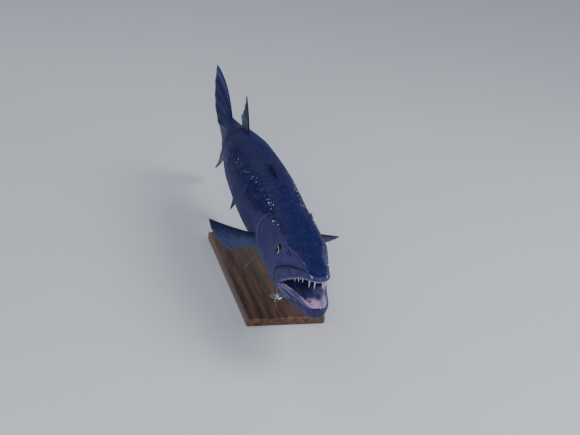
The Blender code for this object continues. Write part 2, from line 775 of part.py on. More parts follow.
def make_median_fin(name, plan, edge, sink):
    """The second dorsal fin or the anal fin, falcate and stiff."""
    lead, hollow, last = [place(*point) for point in plan["edge"]]
    rays = []
    for i in range(MEDIAN_RAYS):
        share = i / (MEDIAN_RAYS - 1)
        back = mix(*plan["root"], share)
        root = place(back, 0.0, edge(back) + sink)
        tip = bend(lead, hollow, last, share)
        elbow = bow(root, tip, *MEDIAN_ELBOW)
        rays.append((root, elbow, tip))
    fin = ray_fin(name, rays, Vector((0, 1, 0)), 6)
    dress(combine(fin, "DIFFERENCE", [trunk_form("rear_cut", TORSO_BACK + GAP, STEM_BACK, GAP)]), "fin")


def make_paired_fin(name, roots, plan, sign, count):
    """A fin of one side, its rays fanned from their roots. Roots and plan are those of the left side."""
    flip = Vector((1, sign, 1))
    offsets = [Vector((-back, side, height)) for back, side, height in plan]
    rays = []
    for i in range(count):
        share = i / (count - 1)
        root = mix(roots[0], roots[1], share)
        reach = bend(*offsets, share)
        elbow = root + reach * Vector(SIDE_FIN_ELBOW)
        rays.append((root * flip, elbow * flip, (root + reach) * flip))
    facing = offsets[0].cross(offsets[2]).normalized() * flip
    fin = ray_fin(name, rays, facing, 5)
    dress(combine(fin, "DIFFERENCE", [trunk_form("torso_cut", GILL_BACK + GAP, TORSO_BACK, GAP)]), "fin")


def make_pectoral_fins():
    roots = [place(back, surface_side(back, height) - FIN_SINK, height) for back, height in PECTORAL_ROOT]
    make_paired_fin("pectoral_fin_left", roots, PECTORAL_LEFT, 1, PECTORAL_RAYS)
    make_paired_fin("pectoral_fin_right", roots, PECTORAL_RIGHT, -1, PECTORAL_RAYS)


def make_pelvic_fins():
    roots = [place(back, side, belly_height(back, side) + FIN_SINK) for back, side in PELVIC_ROOT]
    make_paired_fin("pelvic_fin_left", roots, PELVIC_PLAN, 1, PELVIC_RAYS)
    make_paired_fin("pelvic_fin_right", roots, PELVIC_PLAN, -1, PELVIC_RAYS)


def belly_height(back, side):
    """Height of the body's underside at a distance from its middle."""
    share = side / half_width(back)
    fullness = (1 - share ** squareness(back)) ** (1 / squareness(back))
    return mix(widest_height(back), bottom_height(back), fullness)


def make_base():
    bpy.ops.mesh.primitive_cube_add(size=1.0, location=(SNOUT_X - BASE_BACK, 0.0, BASE_SIZE[2] / 2))
    base = bpy.context.active_object
    base.name = "stand_base"
    for holder in base.users_collection:
        holder.objects.unlink(base)
    fish.objects.link(base)
    base.data.transform(Matrix.Diagonal((*BASE_SIZE, 1.0)))
    rounding = base.modifiers.new("rounding", "BEVEL")
    rounding.width = BASE_ROUNDING
    rounding.segments = 3
    dress(base, "wood")


def make_rods():
    """Turned rods with a foot flange, from the base up to the body."""
    foot = BASE_SIZE[2] + GAP
    for name, back in ROD_BACKS.items():
        top = AXIS_Z + bottom_height(back) + ROD_SINK
        shoulder = foot + FLANGE_HEIGHT
        profile = (
            (0.0, top),
            (ROD_RADIUS, top),
            (ROD_RADIUS, shoulder + FLANGE_ROUNDING),
            (ROD_RADIUS + FLANGE_ROUNDING, shoulder),
            (FLANGE_RADIUS - FLANGE_ROUNDING, shoulder),
            (FLANGE_RADIUS, shoulder - FLANGE_ROUNDING),
            (FLANGE_RADIUS, foot),
            (0.0, foot),
        )
        mesh = bpy.data.meshes.new("stand_rod_" + name)
        points = [(radius, 0.0, height) for radius, height in profile]
        mesh.from_pydata(points, [(i, i + 1) for i in range(len(points) - 1)], [])
        rod = bpy.data.objects.new("stand_rod_" + name, mesh)
        fish.objects.link(rod)
        turn = rod.modifiers.new("turn", "SCREW")
        turn.axis = "Z"
        turn.angle = 2 * math.pi
        turn.steps = TURN_STEPS
        turn.render_steps = TURN_STEPS
        turn.use_merge_vertices = True
        turn.merge_threshold = 0.0001
        apply_modifiers(rod)
        rod.data.transform(Matrix.Translation((SNOUT_X - back, sway(back), 0.0)))
        stretch = (GILL_BACK + GAP, TORSO_BACK) if name == "front" else (TORSO_BACK + GAP, STEM_BACK)
        combine(rod, "DIFFERENCE", [trunk_form("belly_cut", *stretch, GAP)])
        rod.data.shade_smooth()
        rod.data.set_sharp_from_angle(angle=SHARP_ANGLE)
        dress(rod, "steel")


make_head()
make_upper_jaw()
make_lower_jaw()
make_throat()
make_tongue()
make_eyes()
make_gill_covers()
dress(trunk_form("torso_front", GILL_BACK + GAP, TORSO_BACK), "flank")
dress(trunk_form("torso_rear", TORSO_BACK + GAP, STEM_BACK), "flank")
dress(trunk_form("tail_stem", STEM_BACK + GAP, TAIL_ROOT_BACK), "back")
make_tail_fin()
make_first_dorsal()
make_median_fin("second_dorsal_fin", SECOND_DORSAL, top_height, -FIN_SINK)
make_median_fin("anal_fin", ANAL, bottom_height, FIN_SINK)
make_pectoral_fins()
make_pelvic_fins()
make_base()
make_rods()
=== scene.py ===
import math
import random

import bmesh
import bpy
from mathutils import Matrix, Vector
from mathutils.bvhtree import BVHTree


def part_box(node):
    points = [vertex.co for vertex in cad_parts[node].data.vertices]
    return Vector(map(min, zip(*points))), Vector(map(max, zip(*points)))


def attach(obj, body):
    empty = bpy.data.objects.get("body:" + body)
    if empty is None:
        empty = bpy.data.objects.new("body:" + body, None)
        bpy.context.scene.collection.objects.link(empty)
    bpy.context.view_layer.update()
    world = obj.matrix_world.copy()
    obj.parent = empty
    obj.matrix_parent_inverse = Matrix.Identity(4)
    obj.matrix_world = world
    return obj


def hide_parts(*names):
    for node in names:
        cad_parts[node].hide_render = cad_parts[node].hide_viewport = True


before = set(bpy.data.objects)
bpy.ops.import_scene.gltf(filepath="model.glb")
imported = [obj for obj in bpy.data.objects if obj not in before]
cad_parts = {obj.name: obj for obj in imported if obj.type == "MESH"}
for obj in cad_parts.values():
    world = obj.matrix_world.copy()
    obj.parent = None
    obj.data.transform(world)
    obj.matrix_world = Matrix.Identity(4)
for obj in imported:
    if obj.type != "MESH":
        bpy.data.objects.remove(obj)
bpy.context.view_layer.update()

# Places on the fish, in metres: back is measured from just ahead of the upper snout, side is towards
# the fish's left and height is from the body's axis
SNOUT_X = 0.5610
AXIS_Z = 0.200
TAIL_ROOT_BACK = 0.980
STATIONS = (
    (0.000, 0.0215, 0.0285, -0.0700),
    (0.080, 0.0380, 0.0385, -0.0820),
    (0.150, 0.0555, 0.0480, -0.0900),
    (0.220, 0.0590, 0.0585, -0.0915),
    (0.300, 0.0610, 0.0690, -0.0870),
    (0.400, 0.0665, 0.0785, -0.0860),
    (0.500, 0.0700, 0.0820, -0.0855),
    (0.680, 0.0650, 0.0785, -0.0770),
    (0.800, 0.0520, 0.0640, -0.0610),
    (0.920, 0.0290, 0.0415, -0.0415),
    (0.955, 0.0190, 0.0395, -0.0395),
    (0.980, 0.0065, 0.0405, -0.0405),
)
SWAY = ((0.450, 0.0), (0.750, 0.0060), (0.930, 0.0100), (1.000, 0.0080))
WIDEST_HEIGHT = ((0.0, -0.016), (0.150, -0.018), (0.300, -0.008), (0.900, 0.0), (1.000, 0.0))
SQUARENESS = ((0.0, 2.9), (0.200, 2.9), (0.340, 2.2), (1.000, 2.0))

# Mouth
CORNER_BACK = 0.140
UPPER_RIM = ((0.000, 0.0145), (0.030, 0.0115), (0.070, -0.0045), (0.105, -0.0240))
LOWER_RIM = ((-0.010, -0.0450), (0.015, -0.0418), (0.045, -0.0400), (0.100, -0.0415))
RIM_BEHIND = ((0.140, -0.0450), (0.300, -0.0520))
RIM_END_BACK = 0.300
SNOUT_TIP = (0.009, 0.0185)
CHIN_TIP = (-0.004, -0.0480)
TIP_RADIUS = 0.030
LIP_TOP = (
    (-0.060, 0.0250), (0.010, 0.0245), (0.030, 0.0235), (0.054, 0.0200),
    (0.075, 0.0145), (0.098, 0.0075), (0.120, -0.0020), (0.140, -0.0135), (0.156, -0.0250),
)
LIP_END_BACK = 0.156
LIP_END = ((0.143, -0.0130), (0.151, -0.0195), (0.1570, -0.0290), (0.1595, -0.0400), (0.1570, -0.0505))
LIP_PROUD = 0.0018
LIP_GROOVE_DEPTH = 0.0024
LIP_GROOVE_HALF = 0.0018
LOWER_LIP_PROUD = 0.0012
LOWER_LIP_DEPTH = 0.0075
LOWER_LIP_END_BACK = 0.128
JAW_WALL = 0.0085
PALATE_FRONT = (0.0130, 0.030)
FLOOR_FRONT = (0.0045, 0.024)
HOLLOW_END = (0.255, 0.060)
HOLLOW_SQUARENESS = 3.2
PALATE_RISE = 0.0140
FLOOR_DROP = 0.0110

# Eye
EYE_BACK = 0.158
EYE_HEIGHT = 0.0195
EYE_RADIUS = 0.0130
EYE_OPENING = 0.0108
EYE_DEPTH = 0.0105
EYE_BULGE = 0.0018
EYE_FACING = (0.04, 1.0, 0.10)

# Gill cover: its rear edge and how far it lifts, by the angle round the body, and its section
GILL_LINE_BACK = 0.280
GILL_EDGE = (
    (-1.571, 0.239), (-1.05, 0.265), (-0.60, 0.293), (-0.385, 0.301), (-0.13, 0.308),
    (0.20, 0.308), (0.45, 0.299), (0.63, 0.288), (0.81, 0.278), (0.92, 0.256), (1.571, 0.245),
)
GILL_LIFT = (
    (-1.571, 0.25), (-1.30, 0.80), (-0.90, 1.0), (0.70, 1.0), (0.86, 0.70), (1.02, 0.0), (1.571, 0.0),
)
GILL_WARP = (0.188, 0.400)
FLAP = (
    (-0.0120, -0.0120, 0.0010),
    (-0.0070, -0.0065, 0.0021),
    (-0.0035, -0.0030, 0.0028),
    (-0.0015, -0.0010, 0.0031),
    (0.0000, 0.0000, 0.0029),
    (0.0010, 0.0004, 0.0023),
    (0.0020, -0.0006, 0.0015),
    (0.0032, -0.0040, 0.0005),
    (0.0046, -0.0058, -0.0010),
    (0.0062, -0.0040, -0.0021),
    (0.0082, 0.0010, -0.0019),
    (0.0110, 0.0065, -0.0013),
    (0.0150, 0.0130, -0.0009),
    (0.0200, 0.0200, -0.0006),
)

# Lines of the head on its side, as back and height, and on its crown and throat, as back and side
CANAL = (
    (0.017, 0.0226), (0.044, 0.0276), (0.065, 0.0313), (0.083, 0.0337),
    (0.097, 0.0349), (0.112, 0.0350), (0.132, 0.0362), (0.150, 0.0392),
)
PALE_LINE = CANAL + ((0.175, 0.0430), (0.235, 0.0500), (0.262, 0.0480), (0.340, 0.0300))
BROW = ((0.176, 0.0375), (0.158, 0.0400), (0.138, 0.0375))
UNDER_EYE = ((0.150, -0.0020), (0.128, 0.0040), (0.104, 0.0140), (0.080, 0.0215))
CROWN = ((0.085, 0.0110), (0.125, 0.0140), (0.165, 0.0200), (0.215, 0.0240), (0.262, 0.0200))
PREOPERCLE = (
    (0.214, 0.0260), (0.228, 0.0080), (0.234, -0.0200),
    (0.228, -0.0460), (0.205, -0.0620), (0.172, -0.0660),
)
JAW_GROOVES = (
    ((0.138, -0.0530), (0.108, -0.0555), (0.065, -0.0550), (0.030, -0.0530)),
    ((0.152, -0.0630), (0.110, -0.0690), (0.070, -0.0690), (0.030, -0.0660)),
)
JAW_STREAKS = (
    ((0.134, -0.0562), (0.114, -0.0585), (0.092, -0.0602)),
    ((0.156, -0.0560), (0.136, -0.0640), (0.112, -0.0725)),
    ((0.070, -0.0530), (0.064, -0.0535)),
)
GULAR = ((0.020, 0.0060), (0.070, 0.0140), (0.130, 0.0220))

# Nostrils by back, height and radius, and the cheek's bulge by back, height, half sizes and how far it
# stands out
NOSTRILS = ((0.112, 0.0290, 0.0022), (0.122, 0.0300, 0.0030))
NOSTRIL_DEPTH = 0.0026
CHEEK_BULGE = (0.200, -0.020, 0.036, 0.032, 0.0018)

# Gums and folds of the mouth, and the eye's socket and lid
GUM_PROUD = 0.0011
GUM_WAVE = 0.0066
FOLD_PROUD = 0.0008
FOLD_WAVE = 0.0110
SOCKET_DEPTH = 0.0044
SOCKET_SLOPE = 0.0016
LID_PROUD = 0.0012

# Lines that stand out of the head or are cut into it: the line, how far, and its half width
HEAD_RELIEF = (
    (CANAL, 0.0010, 0.0034),
    (BROW, 0.0016, 0.0045),
    (UNDER_EYE, -0.0007, 0.0030),
)

# The solids that the one skin takes the place of
FLESH = (
    "head", "upper_jaw", "lower_jaw", "throat", "gill_cover_left", "gill_cover_right",
    "torso_front", "torso_rear", "tail_stem",
)

# Pale beads of the head, as back, height and size. Those at the gill openings and the snout's tip are
# painted highlights; the pores along the canal follow the sizes, gaps and wander below
GILL_GLINTS = (
    (0.2452, 0.0471, 0.0038), (0.2390, 0.0498, 0.0018), (0.2202, 0.0492, 0.0022), (0.2120, 0.0470, 0.0010),
    (0.2330, 0.0440, 0.0012), (0.2610, 0.0500, 0.0014), (0.2020, 0.0455, 0.0010),
)
SNOUT_GLINTS = ((0.0150, 0.0222, 0.0025), (0.0182, 0.0248, 0.0017))
PORE_SIZES = (0.0006, 0.0013)
PORE_GAPS = (0.0036, 0.0084)
PORE_WANDER = 0.0010
PORE_HEIGHT = 0.0005

# Cells of the skin round each part of the body, and its steps along the body
LIP_CELLS = 8
LEAST_LIP_ANGLE = 0.02
TOP_CELLS = 112
UNDER_CELLS = 80
RIM_CELLS = 8
PALATE_CELLS = 44
FLOOR_CELLS = 44
TIP_TURNS = 14
HEAD_STEP = 0.0018
NECK_STEP = 0.0030
NECK_END_BACK = 0.420
TRUNK_STEP = 0.0060
RELIEF_END_BACK = 0.40
COAT_DEPTH = 0.0006
STEM_END = 0.014
STEM_TURNS = (20, 40, 60, 80)

# Tongue: the middle of its dark mark, and where it darkens towards its root
TONGUE_MARK = (0.0480, -0.0060, -0.0470)
TONGUE_DARK_BACKS = (0.046, 0.068)

# Teeth: rows along the gums, front and chin fangs by back, side and length, palate fangs by back and length
UPPER_ROW = {"first": 0.044, "last": 0.124, "count": 15, "front": 0.0060, "rear": 0.0034, "across": 0.66}
LOWER_ROW = {"first": 0.022, "last": 0.118, "count": 11, "front": 0.0042, "rear": 0.0056, "across": 0.55}
FRONT_FANGS = ((0.0160, 0.0085, 0.0195), (0.0245, 0.0175, 0.0190))
PALATE_FANGS = ((0.052, 0.0130), (0.068, 0.0120), (0.084, 0.0100))
PALATE_FANG_ACROSS = 0.24
CHIN_FANG = (0.0015, 0.0040, 0.0080)
TOOTH_SINK = 0.0030
TOOTH_RAKE = 0.15
TOOTH_LENGTHS = (1.0, 0.72, 0.88)
TOOTH_WIDTH = 0.30
TOOTH_LEAST_WIDTH = 0.0006
FANG_WIDTH = 0.26
CHIN_FANG_WIDTH = 0.32
TOOTH_FLATNESS = 0.62
GAPE_SHARE = 0.42

# Scales. The bake patch is how wide one scale is on the coat's map
BAKE_PATCH = 0.003
SCALE_ROWS = 27
SCALE_PITCH = ((0.300, 0.0084), (0.600, 0.0086), (0.800, 0.0072), (0.980, 0.0046))
FIRST_SCALE_BACK = 0.262
COAT_START_BACK = 0.300
COAT_PARTING_BACK = 0.60
LAST_SCALE_GAP = 0.0030
GILL_SCALE_GAP = 0.0035
SCALE_LENGTH = 1.75
SCALE_WIDTH = 1.30
SCALE_THICKNESS = 0.00050
LINE_SCALE_THICKNESS = 0.00075
SCALE_TILT = 0.022
# Bright beads along the lateral line: painted highlights standing in for the scales' glints
FLANK_GLINT_COUNT = 50
FLANK_GLINT_BACKS = (0.290, 0.780)
FLANK_GLINT_RISE = (-0.055, 0.018)
FLANK_GLINT_SIZES = (0.0011, 0.0039)
FLANK_GLINT_HEIGHT = 0.0016
CHEEK_BACKS = (0.180, 0.312)
CHEEK_HEIGHTS = (0.036, -0.056)
CHEEK_PITCH = 0.0050
CHEEK_ROWS = 24
CHEEK_SCALE = (1.55 * CHEEK_PITCH, 1.06 * CHEEK_PITCH, 0.00020)
LATERAL_LINE = ((0.260, 0.235), (0.400, 0.260), (0.600, 0.350), (0.800, 0.430), (0.980, 0.500))

# Fins: a tip, edge or plan gives points as back, side and height, and an elbow shares of the way
FIN_SINK = 0.0050
WEB_HALF = 0.0003
RAY_ROOT_HALF = 0.0010
RAY_TIP_HALF = 0.00035
CELLS_PER_RAY = 10
RIPPLE = 0.0006
FORK = (1.046, -0.0120, 0.0)
TAIL_ROOT_HALF_HEIGHT = 0.0385
TAIL_LOBES = {
    "upper": {"hollow": (1.090, -0.0240, 0.0780), "tip": (1.125, -0.0067, 0.1410), "elbow": (0.31, 0.85)},
    "lower": {"hollow": (1.088, 0.0280, -0.0800), "tip": (1.114, 0.0010, -0.1630), "elbow": (0.40, 0.60)},
}
TAIL_HUMP = 0.0060
SECOND_DORSAL = {
    "root": (0.736, 0.822),
    "edge": ((0.816, 0.0030, 0.1500), (0.822, 0.0010, 0.0980), (0.858, 0.0, 0.0810)),
}
ANAL = {
    "root": (0.750, 0.834),
    "edge": ((0.820, -0.0195, -0.1680), (0.832, -0.0080, -0.1050), (0.868, -0.0030, -0.0790)),
}
MEDIAN_ELBOW = (0.42, 0.60)
SPINE_BACKS = (0.405, 0.480)
SPINE_SWEEP = (0.060, 0.028)
SPINE_RISE = (0.0170, 0.0080)
SPINE_ELBOW = (0.35, 0.75)
SIDE_FIN_ELBOW = (0.40, 0.58, 0.50)
PECTORAL_ROOT = ((0.334, -0.0220), (0.342, -0.0520))
PECTORAL_LEFT = ((0.040, 0.0940, -0.0300), (0.072, 0.0960, -0.0420), (0.062, 0.0560, -0.0340))
PECTORAL_RIGHT = ((0.080, 0.0940, 0.0060), (0.082, 0.0920, -0.0260), (0.045, 0.0540, -0.0320))
PELVIC_ROOT = ((0.384, 0.0270), (0.400, 0.0150))
PELVIC_PLAN = ((0.028, 0.0330, -0.0710), (0.044, 0.0280, -0.0600), (0.036, 0.0130, -0.0380))

# Stand, room and camera
STAND_FINISHES = (("stand_base", "wood"), ("stand_rod_front", "steel"), ("stand_rod_rear", "steel"))
LAMPS = (
    ("key", (1.2, 1.8, 2.4), 1.6, 46.0),
    ("front", (3.0, -1.0, 1.3), 1.2, 44.0),
    ("rear", (-2.0, -0.6, 2.2), 1.4, 8.0),
)
LAMP_AIM = (0.25, 0.0, 0.2)
FLOOR_HALF_SIZE = 12.0
ROOM_LIGHT = 0.55
CAMERA_SPOT = (2.6294, -0.6595, 1.2521)
CAMERA_TURN = 164.27
CAMERA_TIP = 22.54
CAMERA_ROLL = 5.02
CAMERA_LENS = 75.0


# Curves and measures of the body

def mix(start, end, share):
    return start + (end - start) * share


def smooth(low, high, value):
    """0 below low, 1 above high, with an eased step between."""
    share = min(max((value - low) / (high - low), 0.0), 1.0)
    return share * share * (3 - 2 * share)


def monotone(points):
    """A smooth function through (x, y) points that never overshoots them."""
    xs = [p[0] for p in points]
    ys = [p[1] for p in points]
    rises = [(ys[i + 1] - ys[i]) / (xs[i + 1] - xs[i]) for i in range(len(xs) - 1)]
    slopes = [rises[0]]
    for before, after in zip(rises, rises[1:]):
        level = before * after <= 0
        slopes.append(0.0 if level else 2 * before * after / (before + after))
    slopes.append(rises[-1])

    def value(x):
        x = min(max(x, xs[0]), xs[-1])
        i = max(k for k in range(len(xs) - 1) if xs[k] <= x)
        span = xs[i + 1] - xs[i]
        t = (x - xs[i]) / span
        start = (1 + 2 * t) * (1 - t) ** 2 * ys[i] + t * (1 - t) ** 2 * span * slopes[i]
        end = t * t * (3 - 2 * t) * ys[i + 1] - t * t * (1 - t) * span * slopes[i + 1]
        return start + end

    return value


half_width = monotone([(row[0], row[1]) for row in STATIONS])
top_height = monotone([(row[0], row[2]) for row in STATIONS])
bottom_height = monotone([(row[0], row[3]) for row in STATIONS])
squareness = monotone(SQUARENESS)
widest_height = monotone(WIDEST_HEIGHT)
upper_rim = monotone(UPPER_RIM + RIM_BEHIND)
lower_rim = monotone(LOWER_RIM + RIM_BEHIND)
lip_top = monotone(LIP_TOP)
sway = monotone(SWAY)
gill_edge = monotone(GILL_EDGE)
gill_lift = monotone(GILL_LIFT)
scale_pitch = monotone(SCALE_PITCH)
lateral_line = monotone(LATERAL_LINE)
pale_line = monotone(PALE_LINE)


def place(back, side, height):
    """A point of the world from the fish's own measures."""
    return Vector((SNOUT_X - back, side + sway(back), AXIS_Z + height))


def measures(point):
    """Back, side and height of a point of the world."""
    back = SNOUT_X - point.x
    return back, point.y - sway(back), point.z - AXIS_Z


def in_upper(back, height):
    """Whether a height belongs to the upper jaw: above the middle between the mouth's rims."""
    return height > (upper_rim(back) + lower_rim(back)) / 2


def rounded(distance, radius):
    """How full a round tip is at a distance behind its point, from 0 to 1."""
    t = min(max(distance / radius, 0.0), 1.0)
    return math.sqrt(1 - (1 - t) ** 2)


def even(start, end, step):
    """Evenly spaced values from start to end, about a step apart."""
    count = max(1, round((end - start) / step))
    return [start + (end - start) * i / count for i in range(count + 1)]


def oval(angle, power):
    """Width and rise of a squared oval of half size 1 in a direction."""
    across = abs(math.cos(angle))
    up = abs(math.sin(angle))
    reach = (across**power + up**power) ** (-1 / power)
    return math.cos(angle) * reach, math.sin(angle) * reach


def section(back, angle, grow=0.0, tip=None):
    """Side and height of a point of the body's section. Angle 0 is the left side, a right angle the top."""
    centre = widest_height(back)
    top = top_height(back)
    bottom = bottom_height(back)
    fullness = 1.0
    if tip is not None:
        fullness = rounded(back - tip[0], TIP_RADIUS)
        if fullness < 1:
            top = mix(tip[1], top, fullness)
            bottom = mix(tip[1], bottom, fullness)
            centre = mix(tip[1], centre, fullness)
    across, up = oval(angle, squareness(back))
    reach = (top - centre if up >= 0 else centre - bottom) + grow
    return across * (half_width(back) * fullness + grow), centre + up * reach


def angle_at(back, height, tip=None):
    """The angle at which the section's left side reaches a height."""
    low = -math.pi / 2
    high = math.pi / 2
    for _ in range(30):
        middle = (low + high) / 2
        if section(back, middle, 0.0, tip)[1] < height:
            low = middle
        else:
            high = middle
    return low


def on_side(angle, sign):
    """An angle of the left side, or its mirror image on the right one."""
    return angle if sign > 0 else math.pi - angle


def eye_middle(sign):
    """Where the middle of an eye lies on the plain body."""
    return place(EYE_BACK, *section(EYE_BACK, angle_at(EYE_BACK, EYE_HEIGHT))) * Vector((1, sign, 1))


def hollow_front(upper):
    """Where the space inside a jaw starts, and how long its rounded front is."""
    return PALATE_FRONT if upper else FLOOR_FRONT


def hollow_measures(back, upper):
    """Middle height, rise, drop and half width of the space inside the mouth."""
    front, length = hollow_front(upper)
    fullness = rounded(back - front, length)
    fullness *= rounded(HOLLOW_END[0] - back, HOLLOW_END[1])
    middle = (upper_rim(back) + lower_rim(back)) / 2
    rise = upper_rim(back) - middle + PALATE_RISE * fullness
    drop = middle - lower_rim(back) + FLOOR_DROP * fullness
    return middle, rise, drop, (half_width(back) - JAW_WALL) * fullness


def body_angle(back, side, height):
    """The angle round the body, on its left side, of a point on or near its surface."""
    centre = widest_height(back)
    reach = top_height(back) - centre if height > centre else centre - bottom_height(back)
    return math.atan2((height - centre) / reach, abs(side) / half_width(back))


def fold(angle):
    """The same angle on the left side, between the belly and the back."""
    return math.atan2(math.sin(angle), abs(math.cos(angle)))


def ridge(distance, width):
    return math.exp(-((distance / width) ** 2))


def line_distance(line, across, up):
    """How far a point is from a line of points."""
    here = Vector((across, up))
    best = 1.0
    for first, second in zip(line, line[1:]):
        start = Vector(first)
        run = Vector(second) - start
        share = min(max((here - start).dot(run) / run.length_squared, 0.0), 1.0)
        best = min(best, (here - start - run * share).length)
    return best


def near_line(line, across, up, width):
    """1 on a line of points, falling to 0 away from it."""
    return ridge(line_distance(line, across, up), width)


# Finishes

MATERIALS = {}

# Colours of 0 to 255, by what they paint
TONES = {
    "flank": (25, 34, 94), "back": (3, 15, 74), "rear back": (10, 30, 92), "dark bar": (7, 13, 48),
    "belly": (118, 126, 160), "dark patch": (9, 11, 38), "cheek": (70, 67, 110), "lip": (60, 55, 98),
    "violet blotch": (58, 34, 84), "blue blotch": (16, 34, 84), "cheek mottle": (104, 98, 140),
    "pale lip mottle": (112, 102, 148), "dark lip mottle": (28, 22, 54), "pale grain": (60, 58, 116),
    # The groove tone is painted shade for the skin's grooves and the slit behind the gill cover
    "dark grain": (6, 8, 34), "groove": (8, 9, 26), "deep mouth": (70, 73, 128),
    # The mouth's and gums' paler tones also carry the light painted on the palate
    "moist mouth": (204, 176, 210), "mouth vein": (120, 88, 136), "deep gum": (84, 78, 128),
    "moist gum": (126, 116, 160), "streak": (146, 144, 186), "bright streak": (206, 188, 216),
    # The glint tone is a painted highlight; the pore tones colour pale pores and beads of painted highlight
    "glint": (110, 122, 170), "dull pore and glint": (168, 171, 202), "bright pore and glint": (236, 236, 245),
    "tooth root": (176, 172, 184), "tooth": (236, 233, 238), "tongue": (160, 126, 166),
    "pale tongue": (206, 174, 206), "tongue root": (62, 60, 108), "tongue mark": (64, 10, 24),
    "web": (70, 82, 118), "ray": (30, 42, 82), "fin edge": (88, 98, 134), "fin front": (8, 16, 56),
    "fin shade": (18, 26, 60), "pelvic web": (40, 50, 98), "pelvic ray": (16, 26, 70),
    "pelvic edge": (96, 104, 146), "pelvic front": (186, 188, 212), "tail web": (16, 29, 88),
    # The tail front tone is a painted highlight along the tail's front rays
    "tail ray": (12, 24, 70), "tail edge": (70, 84, 124), "tail front highlight": (84, 76, 132),
    "pupil": (2, 2, 4), "dull silver": (146, 146, 158), "silver": (214, 210, 208),
    "iris": (48, 50, 76), "pale iris": (100, 103, 132), "iris top": (12, 14, 32), "eye rim": (9, 10, 24),
    "dark wood": (52, 33, 22), "wood": (104, 68, 44), "wood pore": (30, 18, 12),
    "steel": (150, 152, 156), "bright steel": (196, 198, 202),
    "floor": (214, 217, 222), "pale floor": (222, 224, 228), "room": (214, 222, 236),
}

# Where the skin's tones change, as world heights and as places along the fish
FLANK_TO_BACK = (0.205, 0.262)
FLANK_TO_BELLY = (0.186, 0.134)
FRONT_TO_REAR = (0.05, -0.35)
BARS_ABOVE = (0.20, 0.25)
PATCHES_BELOW = (0.205, 0.190)
PATCHES_BEHIND = (0.16, 0.02)


def tone(name):
    """A named colour as Blender's linear one."""
    shares = [value / 255 for value in TONES[name]]
    linear = [((share + 0.055) / 1.055) ** 2.4 if share > 0.04 else share / 12.92 for share in shares]
    return (*linear, 1.0)


def add(tree, kind, inputs=None, **settings):
    """A node with its settings, its inputs set to values or joined to the sockets given."""
    made = tree.nodes.new(kind)
    for key, value in settings.items():
        setattr(made, key, value)
    for key, value in (inputs or {}).items():
        if isinstance(value, bpy.types.NodeSocket):
            tree.links.new(value, made.inputs[key])
        else:
            made.inputs[key].default_value = value
    return made


def blend(tree, share, first, second):
    """Colour first turning into second by a share."""
    return add(tree, "ShaderNodeMix", {0: share, 6: first, 7: second}, data_type="RGBA").outputs[2]


def paint(tree, share, colour, name):
    """Lays a named colour over another one by a share."""
    return blend(tree, share, colour, tone(name))


def ease(tree, value, low, high, start=0.0, end=1.0):
    """A smooth step of a value between low and high."""
    inputs = {0: value, 1: low, 2: high, 3: start, 4: end}
    return add(tree, "ShaderNodeMapRange", inputs, interpolation_type="SMOOTHSTEP").outputs[0]


def speckle(tree, place_socket, size, detail=3.0, rough=0.55, stretch=(1.0, 1.0, 1.0)):
    """Noise whose blobs are about size metres across."""
    spread = add(tree, "ShaderNodeMapping", {0: place_socket, 3: stretch}).outputs[0]
    inputs = {"Vector": spread, "Scale": 1 / size, "Detail": detail, "Roughness": rough}
    return add(tree, "ShaderNodeTexNoise", inputs).outputs["Fac"]


def times(tree, first, second, way="MULTIPLY"):
    return add(tree, "ShaderNodeMath", {0: first, 1: second}, operation=way).outputs[0]


def begin(name, roughness=0.4, **sockets):
    """A new material: its tree, its shader and the place on the object."""
    made = bpy.data.materials.new(name)
    made.use_nodes = True
    tree = made.node_tree
    shader = tree.nodes["Principled BSDF"]
    shader.inputs["Roughness"].default_value = roughness
    for key, value in sockets.items():
        shader.inputs[key.replace("_", " ")].default_value = value
    MATERIALS[name] = made
    return tree, shader, add(tree, "ShaderNodeTexCoord").outputs["Object"]


def give(tree, shader, colour, roughness=None, bump=None, depth=0.0005, strength=0.5):
    """Joins the finished colour, roughness and bump to the shader."""
    tree.links.new(colour, shader.inputs["Base Color"])
    if roughness is not None:
        tree.links.new(roughness, shader.inputs["Roughness"])
    if bump is not None:
        raised = add(tree, "ShaderNodeBump", {"Height": bump, "Distance": depth, "Strength": strength})
        tree.links.new(raised.outputs[0], shader.inputs["Normal"])


def attribute(tree, name):
    return add(tree, "ShaderNodeAttribute", attribute_name=name).outputs["Fac"]


def body_colour(tree, spot, along, height):
    """The body's own colours: dark back with darker bars, paler belly, dark patches low at the rear."""
    colour = blend(tree, ease(tree, height, *FLANK_TO_BACK), tone("flank"), tone("back"))
    colour = paint(tree, ease(tree, along, *FRONT_TO_REAR, 0.0, 0.35), colour, "rear back")
    wave = {"Vector": spot, "Scale": 7.0, "Distortion": 2.2, "Detail": 2.0}
    bars = add(tree, "ShaderNodeTexWave", wave).outputs["Fac"]
    bars = times(tree, ease(tree, bars, 0.62, 0.95, 0.0, 0.35), ease(tree, height, *BARS_ABOVE))
    colour = paint(tree, bars, colour, "dark bar")
    colour = paint(tree, ease(tree, height, *FLANK_TO_BELLY), colour, "belly")
    patch = speckle(tree, spot, 0.020, 2.0, 0.5, (0.8, 1.0, 1.0))
    patch = ease(tree, patch, 0.58, 0.66, 0.0, 0.65)
    low_rear = times(tree, ease(tree, along, *PATCHES_BEHIND), ease(tree, height, *PATCHES_BELOW))
    return paint(tree, times(tree, patch, low_rear), colour, "dark patch")


